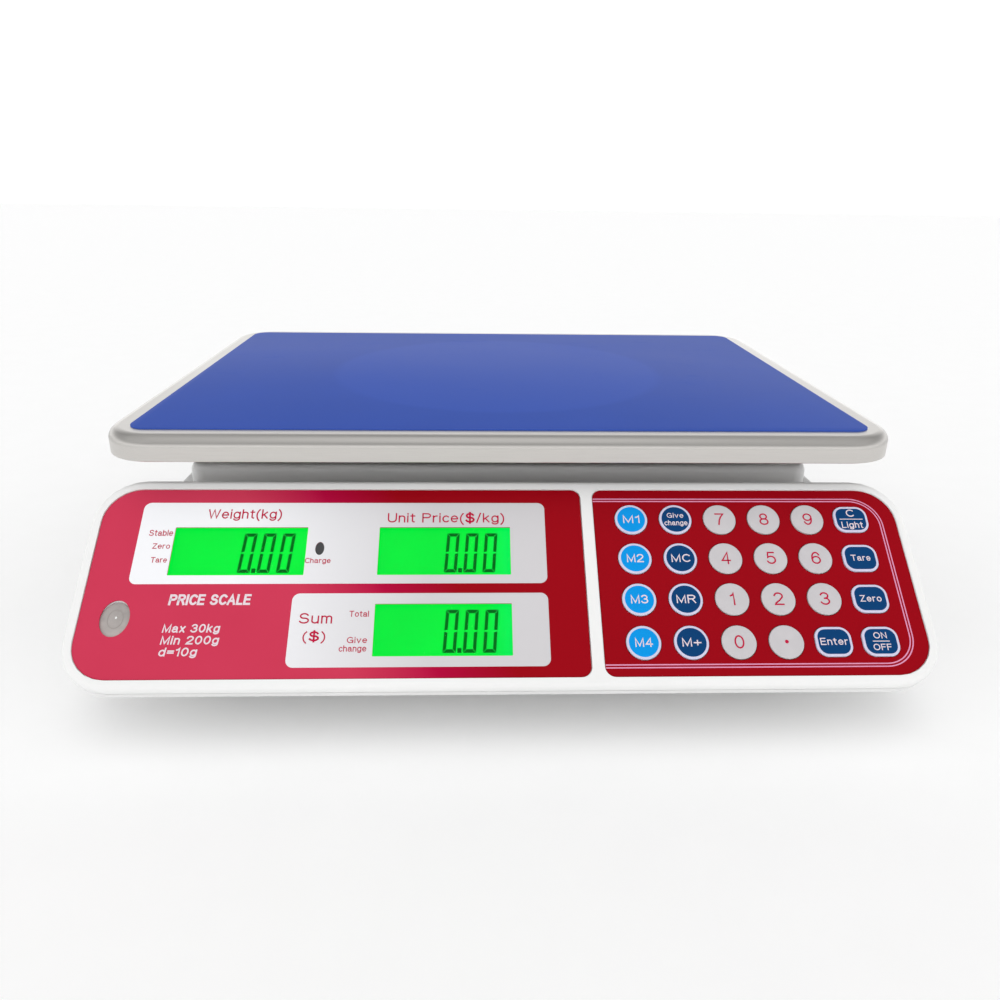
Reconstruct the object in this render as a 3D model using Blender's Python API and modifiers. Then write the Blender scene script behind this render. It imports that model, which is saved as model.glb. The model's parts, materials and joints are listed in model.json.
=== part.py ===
"""Retail price scale: a counter scale with a steel pan, a sloping console and a rear customer display.

Metres, +Z up, +X to the operator's right, +Y towards the customer. The origin is on the counter, under the
middle of the scale. Each sub-part is one named object in the collection "price_scale".
"""

import math

import bmesh
import bpy
from mathutils import Matrix, Vector

# Driving dimensions, whole scale
SCALE_WIDTH = 0.344
SCALE_DEPTH = 0.329
SCALE_HEIGHT = 0.108
GAP = 0.0003  # between pieces that touch
SEAM_Z = 0.024  # the two housing shells meet here
WALL = 0.0025

# Operator console: its face is a plane, measured as (x, up the slope, out of the face)
FACE_TILT = math.radians(40)
FACE_LOW, FACE_HIGH = -0.0045, 0.087  # the face's two long edges, up the slope
FACE_BACK_Y = -0.085
FACE_CORNER = 0.020
FACE_RIM = 0.0025
FACE_WALL = 0.0040
FACE_FRONT_Y = -SCALE_DEPTH / 2 + 0.00239  # where the printed panels start
FACE_FRONT_Z = 0.0297

# Printed panels in the face
PANEL_HEIGHT = 0.082
PANEL_OUTER_X = 0.1675
PANEL_CORNER, PANEL_INNER_CORNER = 0.015, 0.004
DISPLAY_PANEL_END_X = 0.0322
KEYPAD_PANEL_START_X = 0.0376
PANEL_TOP, PANEL_SHEET = -0.0005, 0.0005
PANEL_FLOOR = PANEL_TOP - PANEL_SHEET - GAP

# Operator displays
WINDOW = (0.0545, 0.0216)
LCD_GLASS = (0.0560, 0.0255)
LCD_CENTRES = {
    "lcd_weight": (-0.1094, 0.0536),
    "lcd_unit_price": (-0.0253, 0.0536),
    "lcd_total": (-0.0253, 0.0195),
}
LENS_LOW, LENS_HIGH = (-0.1410, 0.0055), (0.0120, 0.0700)
LENS_SHEET = 0.0008
LENS_FLOOR = PANEL_FLOOR - LENS_SHEET - GAP
LCD_TOP = LENS_FLOOR - 0.0001
BOARD_TOP = -0.0100
BOARD_THICKNESS = 0.0016
LED_CENTRE = (-0.0766, 0.0545)
LED_RADIUS = 0.0025
LEVEL_CENTRE = (-0.1536, 0.0245)
LEVEL_WINDOW_RADIUS = 0.0058
LEVEL_RADIUS = 0.0062

# Keypad: four rows of six keys
KEY_FIRST = (0.0534, 0.0677)
KEY_PITCH = (0.01893, 0.0181)
KEY_RADIUS = 0.0069
SQUARE_KEY = (0.0146, 0.0122)
SQUARE_KEY_CORNER = 0.0045
KEY_TOP, KEY_BOTTOM = 0.0006, -0.0009
KEY_SHOULDER = 0.0009
KEY_TRAVEL = 0.0006
KEY_STEPS = 20
CIRCUIT_SHEET = 0.0006
CIRCUIT_TOP = KEY_BOTTOM - KEY_TRAVEL - 0.0001
CIRCUIT_FLOOR = CIRCUIT_TOP - CIRCUIT_SHEET - GAP
CIRCUIT_LOW, CIRCUIT_HIGH = (0.0430, 0.0040), (0.1570, 0.0775)
KEY_NAMES = (
    ("key_m1", "key_change", "key_7", "key_8", "key_9", "key_clear_light"),
    ("key_m2", "key_mc", "key_4", "key_5", "key_6", "key_tare"),
    ("key_m3", "key_mr", "key_1", "key_2", "key_3", "key_zero"),
    ("key_m4", "key_m_plus", "key_0", "key_point", "key_enter", "key_on_off"),
)
SQUARE_KEYS = {"key_clear_light", "key_tare", "key_zero", "key_on_off", "key_enter"}
MEMORY_KEYS = {"key_m1", "key_m2", "key_m3", "key_m4"}
FUNCTION_KEYS = SQUARE_KEYS | {"key_change", "key_mc", "key_mr", "key_m_plus"}

# Housing behind the console
BODY_HALF_WIDTH = 0.150
BODY_FRONT_Y = -0.098
BODY_BACK_Y = SCALE_DEPTH / 2
DECK_Z = 0.074
BODY_CORNER = 0.015
PLATEAU_LOW, PLATEAU_HIGH = (-0.1435, -0.073), (0.1435, 0.125)
PLATEAU_Z = 0.084
POST_WELL_LOW, POST_WELL_HIGH = (0.028, -0.003), (0.074, 0.045)
FLOOR_Z = 0.010
TUB_LOW, TUB_HIGH = (-0.135, -0.128), (0.135, 0.150)
TUB_CORNER = 0.015
PLATEAU_CORNER = 0.0075
FLANGE_Z = 0.0205

# Customer display, in the sloping rear face
REAR_TILT = math.radians(65)
REAR_PANEL_LOW, REAR_PANEL_HIGH = (-0.132, 0.0060), (0.132, 0.0480)
REAR_PANEL_CORNER = 0.005
REAR_LCD = (0.206, 0.028)
REAR_LCD_HEIGHT = 0.0250  # its middle, up the rear slope
REAR_WINDOW_PITCH = 0.072

# Pan
PAN_SIZE = (0.340, 0.250)
PAN_CENTRE_Y = 0.0205
PAN_CORNER = 0.023
PAN_EDGE = 0.005
PAN_SHEET = 0.0008
PAN_HEIGHT = 0.011
FILM_SHEET = 0.0003
FILM_BORDER = 0.0105
FILM_CORNER = 0.009
PAN_TOP_Z = SCALE_HEIGHT - FILM_SHEET - GAP

# Weighing mechanism
CELL_SIZE = (0.130, 0.030, 0.022)
CELL_BOTTOM_Z = 0.044
CELL_END_X = 0.050  # the middle of each clamped end
CELL_BORE_X = 0.017
BOLT_RADIUS, BOLT_HOLE_RADIUS = 0.0030, 0.0033
BOLT_SPACING = 0.015
SPIDER_BOTTOM_Z, SPIDER_TOP_Z = 0.0880, 0.0960
ARM_END = (0.118, 0.082)
CUSHION_RADIUS = 0.0085

# Levelling feet
FOOT_X, FOOT_FRONT_Y, FOOT_BACK_Y = 0.118, -0.105, 0.127
FOOT_RADIUS = 0.014
PAD_HEIGHT = 0.005
STUD_RADIUS, STUD_HOLE_RADIUS = 0.0040, 0.0043

# Battery bay, in the floor
DOOR_LOW, DOOR_HIGH = (-0.1015, 0.0585), (0.0065, 0.1355)
DOOR_THICKNESS = 0.0022
DOOR_CLEARANCE = 0.00035
BATTERY_LOW, BATTERY_SIZE = (-0.098, 0.0625, 0.0142), (0.101, 0.070, 0.047)
HOOK_X = (-0.085, -0.020)  # where the door's two hooks start

# Housing screws and power inlet
SCREW_PLACES = ((-0.120, -0.152), (0.120, -0.152), (-0.124, 0.075), (0.124, 0.075))
INLET_Y, INLET_Z = 0.040, 0.046

ROUND_STEPS = 24
FAR = 0.5  # past the scale on any side


# --- scene and materials -------------------------------------------------------------------------------


def clear_scene():
    for thing in list(bpy.data.objects):
        bpy.data.objects.remove(thing, do_unlink=True)


def collection(name):
    made = bpy.data.collections.new(name)
    bpy.context.scene.collection.children.link(made)
    return made


def material(name, colour, roughness, metallic=0.0):
    made = bpy.data.materials.new(name)
    made.use_nodes = True
    shader = made.node_tree.nodes["Principled BSDF"]
    shader.inputs["Base Color"].default_value = (*colour, 1.0)
    shader.inputs["Roughness"].default_value = roughness
    shader.inputs["Metallic"].default_value = metallic
    return made


def make_materials():
    return {
        "housing": material("housing_white", (0.84, 0.84, 0.83), 0.45),
        "panel": material("panel_red", (0.36, 0.004, 0.012), 0.30),
        "number_key": material("number_key_grey", (0.62, 0.61, 0.62), 0.35),
        "function_key": material("function_key_blue", (0.006, 0.065, 0.20), 0.35),
        "memory_key": material("memory_key_blue", (0.02, 0.30, 0.80), 0.35),
        "steel": material("stainless_steel", (0.56, 0.55, 0.53), 0.30, 1.0),
        "film": material("pan_film_blue", (0.055, 0.10, 0.42), 0.40),
        "lcd": material("lcd_green", (0.0, 0.75, 0.06), 0.25),
        "clear": material("clear_acrylic", (0.85, 0.87, 0.87), 0.08),
        "aluminium": material("cast_aluminium", (0.60, 0.61, 0.62), 0.45, 1.0),
        "rubber": material("rubber_black", (0.02, 0.02, 0.02), 0.85),
        "board": material("circuit_board_green", (0.015, 0.13, 0.05), 0.5),
        "black": material("black_plastic", (0.02, 0.02, 0.022), 0.45),
        "battery": material("battery_grey", (0.10, 0.11, 0.12), 0.5),
    }


# --- shapes --------------------------------------------------------------------------------------------


class Workshop:
    """Makes objects from bmesh shapes, and keeps parts and cutters in their own collections."""

    def __init__(self):
        self.parts = collection("price_scale")
        self.cutters = collection("cutters")
        self.materials = make_materials()

    def finish(self, name, shape, finish, parent=None, location=(0, 0, 0)):
        """A named object from a bmesh, in the parts collection."""
        mesh = bpy.data.meshes.new(name)
        shape.to_mesh(mesh)
        shape.free()
        return self.place(name, mesh, finish, parent, location)

    def place(self, name, mesh, finish, parent=None, location=(0, 0, 0)):
        mesh.shade_smooth()
        mesh.set_sharp_from_angle(angle=math.radians(32))
        if not mesh.materials:
            mesh.materials.append(self.materials[finish])
        made = bpy.data.objects.new(name, mesh)
        made.parent = parent
        made.location = location
        self.parts.objects.link(made)
        return made

    def helper(self, name, shape, parent=None):
        """An object that only shapes another: it is left out of renders and of the build."""
        made = self.finish(name, shape, "housing", parent)
        self.hide(made)
        return made

    def hide(self, thing):
        self.parts.objects.unlink(thing)
        self.cutters.objects.link(thing)
        thing.hide_render = True
        thing.display_type = "WIRE"

    def combine(self, target, operation, *others):
        for other in others:
            modifier = target.modifiers.new(f"{operation.lower()}_{other.name}", "BOOLEAN")
            modifier.operation = operation
            modifier.solver = "EXACT"
            modifier.object = other
        return target

    def cut(self, target, *others):
        return self.combine(target, "DIFFERENCE", *others)

    def join(self, target, *others):
        return self.combine(target, "UNION", *others)

    def plane(self, name, location, rotation):
        """An empty that parts lying in one sloping face are parented to."""
        made = bpy.data.objects.new(name, None)
        made.location = location
        made.rotation_euler = rotation
        bpy.context.scene.collection.objects.link(made)
        return made


def add_box(shape, low, high):
    low, high = Vector(low), Vector(high)
    matrix = Matrix.LocRotScale((low + high) / 2, None, high - low)
    bmesh.ops.create_cube(shape, size=1.0, matrix=matrix)


def box(low, high):
    shape = bmesh.new()
    add_box(shape, low, high)
    return shape


def corner_edge(shape, x, y):
    """The upright edge of a box at this corner."""
    for edge in shape.edges:
        if all(abs(v.co.x - x) < 1e-6 and abs(v.co.y - y) < 1e-6 for v in edge.verts):
            return edge
    raise ValueError(f"no upright edge at {x}, {y}")


def bevel(shape, edges, width, steps):
    bmesh.ops.bevel(
        shape, geom=edges, offset=width, offset_type="OFFSET", segments=steps, profile=0.5, affect="EDGES"
    )


def rim_edges(shape, z):
    """The edges round the flat face at this height."""
    flat = [f for f in shape.faces if all(abs(v.co.z - z) < 1e-6 for v in f.verts)]
    return list({edge for face in flat for edge in face.edges})


def plate(low, high, corners, rim=0.0, foot=0.0, steps=6, rim_steps=3):
    """A box with rounded upright corners, given from (-x, -y) anticlockwise, and rounded rims."""
    shape = box(low, high)
    if isinstance(corners, float):
        corners = (corners,) * 4
    places = ((low[0], low[1]), (high[0], low[1]), (high[0], high[1]), (low[0], high[1]))
    for place, radius in zip(places, corners):
        if radius > 0:
            bevel(shape, [corner_edge(shape, *place)], radius, steps)
    if rim > 0:
        bevel(shape, rim_edges(shape, high[2]), rim, rim_steps)
    if foot > 0:
        bevel(shape, rim_edges(shape, low[2]), foot, rim_steps)
    return shape


def add_cylinder(shape, centre, radius, low, high, steps=ROUND_STEPS):
    """An upright cylinder at centre (x, y), from low to high."""
    matrix = Matrix.Translation((centre[0], centre[1], (low + high) / 2))
    bmesh.ops.create_cone(
        shape,
        cap_ends=True,
        segments=steps,
        radius1=radius,
        radius2=radius,
        depth=high - low,
        matrix=matrix,
    )


def cylinder(centre, radius, low, high, steps=ROUND_STEPS):
    shape = bmesh.new()
    add_cylinder(shape, centre, radius, low, high, steps)
    return shape


def turned(shop, name, profile, finish, location, rotation=(0, 0, 0), steps=ROUND_STEPS):
    """A solid of revolution about local Z, from a (radius, height) profile that ends on the axis."""
    mesh = bpy.data.meshes.new(name)
    points = [(radius, 0, height) for radius, height in profile]
    mesh.from_pydata(points, [(i, i + 1) for i in range(len(points) - 1)], [])
    made = shop.place(name, mesh, finish, location=location)
    made.rotation_euler = rotation
    screw = made.modifiers.new("turn", "SCREW")
    screw.steps = screw.render_steps = steps
    screw.use_merge_vertices = True
    screw.merge_threshold = 0.00001
    return made


def grown(low, high, by):
    """A rectangle with every side moved out by this much."""
    return (low[0] - by, low[1] - by), (high[0] + by, high[1] + by)


def centred(centre, size):
    return (
        (centre[0] - size[0] / 2, centre[1] - size[1] / 2),
        (centre[0] + size[0] / 2, centre[1] + size[1] / 2),
    )


# --- housing -------------------------------------------------------------------------------------------


def console_form(shop, name, inset, low, back_y, face):
    """The console's wedge: a slab square to the face, cut off at a lower plane and at a rear plane."""
    half = SCALE_WIDTH / 2 - inset
    depth = FACE_WALL if inset else 0.0
    slab = plate(
        (-half, FACE_LOW + inset, -0.075),
        (half, FACE_HIGH - inset, -depth),
        FACE_CORNER - inset,
        rim=0.0 if inset else FACE_RIM,
    )
    made = shop.finish(name, slab, "housing", face)
    limits = shop.helper(f"{name}_limits", box((-FAR, -FAR, low), (FAR, back_y, FAR)))
    return shop.combine(made, "INTERSECT", limits)


def body_form(inset, low, high):
    """The housing behind the console, whose rear face slopes."""
    half = BODY_HALF_WIDTH - inset
    front = BODY_FRONT_Y - (0.007 if inset else 0.0)
    shape = box((-half, front, low), (half, BODY_BACK_Y, high))
    for vert in shape.verts:
        if vert.co.y > 0:
            rise = vert.co.z - SEAM_Z
            vert.co.y = BODY_BACK_Y - rise / math.tan(REAR_TILT) - inset / math.sin(REAR_TILT)
    rear = [e for e in shape.edges if all(v.co.y > 0 for v in e.verts)]
    upright = [e for e in rear if abs(e.verts[0].co.z - e.verts[1].co.z) > 0.01]
    bevel(shape, upright, BODY_CORNER - inset, 5)
    if not inset:
        sides = [e for e in rim_edges(shape, high) if max(v.co.y for v in e.verts) > front + 0.001]
        bevel(shape, sides, 0.003, 2)
    return shape


def panel_corners(left_outer):
    """Corner radii of a printed panel, whose outer end has the large ones."""
    outer, inner = PANEL_CORNER, PANEL_INNER_CORNER
    return (outer, inner, inner, outer) if left_outer else (inner, outer, outer, inner)


def panel_plate(low_x, high_x, top, bottom, left_outer, clearance=0.0):
    low, high = grown((low_x, 0.0), (high_x, PANEL_HEIGHT), clearance)
    corners = tuple(radius + clearance for radius in panel_corners(left_outer))
    return plate((*low, bottom), (*high, top), corners)


def top_cover(shop, face, rear):
    cover = console_form(shop, "top_cover", 0.0, SEAM_Z, FACE_BACK_Y, face)
    body = shop.helper("body_form", body_form(0.0, SEAM_Z, DECK_Z))
    plateau = shop.helper(
        "plateau_form",
        plate(
            (*PLATEAU_LOW, DECK_Z - 0.002), (*PLATEAU_HIGH, PLATEAU_Z), PLATEAU_CORNER, rim=0.003, rim_steps=2
        ),
    )
    shop.join(cover, body, plateau)

    console_hollow = console_form(shop, "console_hollow", WALL, FLOOR_Z, FACE_BACK_Y - WALL, face)
    shop.hide(console_hollow)
    body_hollow = shop.helper("body_hollow", body_form(WALL, FLOOR_Z, DECK_Z - WALL))
    low, high = grown(PLATEAU_LOW, PLATEAU_HIGH, -WALL)
    plateau_hollow = shop.helper(
        "plateau_hollow", plate((*low, DECK_Z - 0.02), (*high, PLATEAU_Z - WALL), PLATEAU_CORNER - WALL)
    )
    shop.cut(cover, console_hollow, body_hollow, plateau_hollow)

    posts = bmesh.new()
    holes = bmesh.new()
    for x, y in SCREW_PLACES:
        top = 0.0345 if y < 0 else PLATEAU_Z - 0.001
        add_cylinder(posts, (x, y), 0.0032, SEAM_Z + GAP, top, 12)
        add_cylinder(holes, (x, y), 0.0013, SEAM_Z - 0.001, SEAM_Z + 0.007, 8)
    shop.join(cover, shop.helper("cover_posts", posts))

    level = face_point(*LEVEL_CENTRE)
    tube_top = level.z + 0.001
    sleeve = cylinder((level.x, level.y), LEVEL_RADIUS + 0.0022, level.z - 0.011, tube_top)
    sleeve_form = shop.helper("level_sleeve", sleeve)
    sleeve_limit = shop.helper(
        "level_sleeve_limit", box((-FAR, -FAR, -FAR), (FAR, FAR, -FACE_WALL / 2)), face
    )
    shop.combine(sleeve_form, "INTERSECT", sleeve_limit)
    shop.join(cover, sleeve_form)

    add_cylinder(holes, (level.x, level.y), LEVEL_RADIUS + GAP, level.z - 0.02, level.z + 0.02)
    add_box(holes, (*POST_WELL_LOW, PLATEAU_Z - 0.01), (*POST_WELL_HIGH, PLATEAU_Z + 0.01))
    shop.cut(cover, shop.helper("cover_holes", holes))

    shop.cut(
        cover,
        shop.helper(
            "display_panel_recess",
            panel_plate(-PANEL_OUTER_X, DISPLAY_PANEL_END_X, 0.002, PANEL_FLOOR, True, GAP),
            face,
        ),
        shop.helper(
            "keypad_panel_recess",
            panel_plate(KEYPAD_PANEL_START_X, PANEL_OUTER_X, 0.002, PANEL_FLOOR, False, GAP),
            face,
        ),
    )
    pockets = bmesh.new()
    low, high = grown(LENS_LOW, LENS_HIGH, GAP)
    add_box(pockets, (*low, LENS_FLOOR), (*high, 0.0))
    low, high = grown(CIRCUIT_LOW, CIRCUIT_HIGH, GAP)
    add_box(pockets, (*low, CIRCUIT_FLOOR), (*high, 0.0))
    shop.cut(cover, shop.helper("panel_pockets", pockets, face))

    windows = bmesh.new()
    for centre in LCD_CENTRES.values():
        low, high = grown(*centred(centre, LCD_GLASS), GAP)
        add_box(windows, (*low, -0.02), (*high, 0.001))
    add_cylinder(windows, LED_CENTRE, LED_RADIUS + GAP, -0.02, 0.001, 16)
    shop.cut(cover, shop.helper("console_windows", windows, face))

    low, high = grown(REAR_PANEL_LOW, REAR_PANEL_HIGH, GAP)
    recess = plate((*low, PANEL_FLOOR), (*high, 0.002), REAR_PANEL_CORNER + GAP, steps=3)
    rear_cuts = shop.helper("rear_panel_recess", recess, rear)
    low, high = grown(*centred((0, REAR_LCD_HEIGHT), REAR_LCD), GAP)
    rear_window = shop.helper("rear_window", box((*low, -0.02), (*high, 0.001)), rear)
    inlet_hole = shop.helper("inlet_hole", cylinder((0, 0), 0.0042, -0.01, 0.01, 16))
    inlet_hole.location = (BODY_HALF_WIDTH, INLET_Y, INLET_Z)
    inlet_hole.rotation_euler = (0, math.pi / 2, 0)
    return shop.cut(cover, rear_cuts, rear_window, inlet_hole)


def bottom_shell(shop, face):
    """The lower shell: a flange that closes the cover, and a tub that carries the mechanism and the feet."""
    top = SEAM_Z - GAP
    tub = plate((*TUB_LOW, FLOOR_Z), (*TUB_HIGH, top), TUB_CORNER, foot=0.002, rim_steps=2)
    shell = shop.finish("bottom_shell", tub, "housing")
    flange = console_form(shop, "console_flange", 0.0, FLANGE_Z, FACE_BACK_Y, face)
    shop.hide(flange)
    flange_top = shop.helper("flange_top", box((-FAR, -FAR, FLANGE_Z - 0.01), (FAR, FAR, top)))
    shop.combine(flange, "INTERSECT", flange_top)
    corners = (0.0, 0.0, BODY_CORNER, BODY_CORNER)
    body_low, body_high = (-BODY_HALF_WIDTH, BODY_FRONT_Y), (BODY_HALF_WIDTH, BODY_BACK_Y)
    body = shop.helper("body_flange", plate((*body_low, FLANGE_Z), (*body_high, top), corners, steps=5))
    shop.join(shell, flange, body)

    low, high = grown(TUB_LOW, TUB_HIGH, -WALL)
    hollow = plate((*low, FLOOR_Z + WALL), (*high, 0.05), TUB_CORNER - WALL)
    shop.cut(shell, shop.helper("tub_hollow", hollow))

    bosses = bmesh.new()
    holes = bmesh.new()
    heads = bmesh.new()
    for x, y in foot_places().values():
        add_cylinder(bosses, (x, y), 0.0080, FLOOR_Z + 0.001, top - 0.001)
        add_cylinder(holes, (x, y), STUD_HOLE_RADIUS, 0.0, 0.05)
    for x, y in SCREW_PLACES[2:]:
        add_cylinder(bosses, (x, y), 0.0060, FLOOR_Z + 0.001, top - 0.001, 16)
    for x, y in SCREW_PLACES:
        head_z = FLANGE_Z + 0.0014 if y < 0 else SEAM_Z - 0.004
        add_cylinder(holes, (x, y), 0.0019, 0.0, 0.05, 12)
        add_cylinder(heads, (x, y), 0.0038, 0.0, head_z, 16)
    for low, high in (
        ((-0.065, 0.0560), (-0.030, 0.0578)),
        ((-0.065, 0.1362), (-0.030, 0.1380)),
        ((-0.1038, 0.075), (-0.1020, 0.110)),
        ((0.0072, 0.075), (0.0090, 0.110)),
    ):
        add_box(bosses, (*low, FLOOR_Z + 0.001), (*high, BATTERY_LOW[2] + 0.020))
    shop.join(shell, shop.helper("shell_bosses", bosses))
    low, high = grown(DOOR_LOW, DOOR_HIGH, DOOR_CLEARANCE)
    opening = shop.helper("battery_opening", box((*low, 0.0), (*high, 0.02)))
    return shop.cut(shell, shop.helper("shell_holes", holes), shop.helper("screw_heads", heads), opening)


def battery_door(shop):
    """A plate flush with the floor: a battery pad, two hooks at its pivot edge and a snap tongue."""
    pivot = Vector((0, DOOR_LOW[1], FLOOR_Z))
    low, high = Vector((*DOOR_LOW, FLOOR_Z)), Vector((*DOOR_HIGH, FLOOR_Z + DOOR_THICKNESS))
    door = shop.finish("battery_door", box(low - pivot, high - pivot), "housing", location=pivot)
    hooks = bmesh.new()
    reach = bmesh.new()
    for x in HOOK_X:
        add_box(hooks, (x, 0.0005, 0.0015), (x + 0.010, 0.0036, 0.0043))
        add_box(reach, (x + 0.0002, -0.0030, 0.0028), (x + 0.0098, 0.0030, 0.0041))
    add_box(reach, (-0.0575, 0.0750, 0.0015), (-0.0375, 0.0767, 0.0085))
    add_box(reach, (-0.0900, 0.0100, 0.0012), (-0.0050, 0.0660, 0.0038))
    forms = shop.helper("door_hooks", hooks), shop.helper("door_reach", reach)
    for form in forms:
        form.location = pivot
    return shop.join(door, *forms)


# --- console -------------------------------------------------------------------------------------------


def face_point(x, up, out=0.0):
    """A point of the console's face in the scale's own frame."""
    cos, sin = math.cos(FACE_TILT), math.sin(FACE_TILT)
    return Vector((x, FACE_FRONT_Y + up * cos - out * sin, FACE_FRONT_Z + up * sin + out * cos))


def key_places():
    for row, names in enumerate(KEY_NAMES):
        for column, name in enumerate(names):
            yield name, (KEY_FIRST[0] + column * KEY_PITCH[0], KEY_FIRST[1] - row * KEY_PITCH[1])


def key_form(name, grow, low, high, rim):
    """A key's outline about its own middle, round or a rounded oblong."""
    if name in SQUARE_KEYS:
        first, last = grown(*centred((0, 0), SQUARE_KEY), grow)
        return plate((*first, low), (*last, high), SQUARE_KEY_CORNER + grow, rim=rim, steps=4, rim_steps=2)
    shape = cylinder((0, 0), KEY_RADIUS + grow, low, high, KEY_STEPS)
    if rim > 0:
        bevel(shape, rim_edges(shape, high), rim, 2)
    return shape


def keys(shop, face):
    for name, place in key_places():
        finish = (
            "memory_key" if name in MEMORY_KEYS else "function_key" if name in FUNCTION_KEYS else "number_key"
        )
        shape = key_form(name, 0.0, KEY_BOTTOM, KEY_TOP, KEY_SHOULDER)
        shop.finish(name, shape, finish, face, (*place, 0.0))


def keypad_panel(shop, face):
    bottom = PANEL_TOP - PANEL_SHEET
    panel = shop.finish(
        "keypad_panel",
        panel_plate(KEYPAD_PANEL_START_X, PANEL_OUTER_X, PANEL_TOP, bottom, False),
        "panel",
        face,
    )
    holes = bmesh.new()
    for name, place in key_places():
        one = key_form(name, GAP, bottom - 0.001, PANEL_TOP + 0.001, 0.0)
        bmesh.ops.translate(one, verts=one.verts, vec=(*place, 0.0))
        mesh = bpy.data.meshes.new("key_hole")
        one.to_mesh(mesh)
        one.free()
        holes.from_mesh(mesh)
        bpy.data.meshes.remove(mesh)
    return shop.cut(panel, shop.helper("key_holes", holes, face))


def display_panel(shop, face):
    bottom = PANEL_TOP - PANEL_SHEET
    panel = shop.finish(
        "display_panel",
        panel_plate(-PANEL_OUTER_X, DISPLAY_PANEL_END_X, PANEL_TOP, bottom, True),
        "panel",
        face,
    )
    windows = bmesh.new()
    for centre in LCD_CENTRES.values():
        low, high = centred(centre, WINDOW)
        add_box(windows, (*low, -0.002), (*high, 0.001))
    add_cylinder(windows, LED_CENTRE, 0.0020, -0.002, 0.001, 16)
    add_cylinder(windows, LEVEL_CENTRE, LEVEL_WINDOW_RADIUS, -0.002, 0.001)
    return shop.cut(panel, shop.helper("display_panel_windows", windows, face))


def display_lens(shop, face):
    low, high = (*LENS_LOW, PANEL_FLOOR - LENS_SHEET), (*LENS_HIGH, PANEL_FLOOR)
    return shop.finish("display_lens", box(low, high), "clear", face)


def operator_lcds(shop, face):
    """Each display is a glass plate on a narrower backlight."""
    for name, centre in LCD_CENTRES.items():
        low, high = centred((0, 0), LCD_GLASS)
        glass = shop.finish(name, box((*low, LCD_TOP - 0.0028), (*high, LCD_TOP)), "lcd", face, (*centre, 0))
        low, high = grown(low, high, -0.0015)
        light = box((*low, BOARD_TOP + GAP), (*high, LCD_TOP - 0.0020))
        backlight = shop.helper(f"{name}_backlight", light, face)
        backlight.location = (*centre, 0)
        shop.join(glass, backlight)


def main_board(shop, face):
    """One board behind the three displays, with its controller, socket and capacitors on the back."""
    back = BOARD_TOP - BOARD_THICKNESS
    board = shop.finish("main_board", box((-0.145, 0.038, back), (0.028, 0.078, BOARD_TOP)), "board", face)
    lower = shop.helper("board_lower", box((-0.090, 0.006, back), (0.028, 0.040, BOARD_TOP)), face)
    chips = bmesh.new()
    for low, high, depth in (
        ((-0.070, 0.050), (-0.056, 0.064), 0.0018),
        ((-0.030, 0.012), (-0.010, 0.020), 0.0030),
        ((-0.130, 0.045), (-0.110, 0.052), 0.0075),
        ((0.000, 0.060), (0.020, 0.067), 0.0075),
    ):
        add_box(chips, (*low, back - depth), (*high, back + 0.0005))
    for x in (-0.080, -0.045):
        add_cylinder(chips, (x, 0.030), 0.0040, back - 0.009, back + 0.0005, 12)
    return shop.join(board, lower, shop.helper("board_chips", chips, face))


def keypad_circuit(shop, face):
    """The membrane switch layer under the keys."""
    low, high = (*CIRCUIT_LOW, CIRCUIT_TOP - CIRCUIT_SHEET), (*CIRCUIT_HIGH, CIRCUIT_TOP)
    return shop.finish("keypad_circuit", box(low, high), "board", face)


def charge_light(shop, face):
    top = LCD_TOP
    shape = cylinder((0, 0), LED_RADIUS, BOARD_TOP + GAP, top, 16)
    bevel(shape, rim_edges(shape, top), 0.0015, 2)
    return shop.finish("charge_light", shape, "black", face, (*LED_CENTRE, 0))


def spirit_level(shop, face):
    """An upright vial, so that it reads true, whose top is cut parallel to the sloping face."""
    middle = face_point(*LEVEL_CENTRE)
    low, high = -0.010, 0.010
    vial = shop.finish("spirit_level", cylinder((0, 0), LEVEL_RADIUS, low, high), "clear", location=middle)
    limit = shop.helper("level_limit", box((-FAR, -FAR, -FAR), (FAR, FAR, PANEL_FLOOR)), face)
    return shop.combine(vial, "INTERSECT", limit)


# --- customer display ----------------------------------------------------------------------------------


def customer_display(shop, rear):
    bottom = PANEL_TOP - PANEL_SHEET
    panel = shop.finish(
        "customer_panel",
        plate((*REAR_PANEL_LOW, bottom), (*REAR_PANEL_HIGH, PANEL_TOP), REAR_PANEL_CORNER, steps=3),
        "panel",
        rear,
    )
    windows = bmesh.new()
    for step in (-1, 0, 1):
        low, high = centred((step * REAR_WINDOW_PITCH, REAR_LCD_HEIGHT), WINDOW)
        add_box(windows, (*low, -0.002), (*high, 0.001))
    shop.cut(panel, shop.helper("customer_windows", windows, rear))
    low, high = centred((0, REAR_LCD_HEIGHT), REAR_LCD)
    shop.finish("customer_lcd", box((*low, PANEL_FLOOR - 0.0060), (*high, PANEL_FLOOR)), "lcd", rear)


# --- weighing mechanism --------------------------------------------------------------------------------


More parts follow.
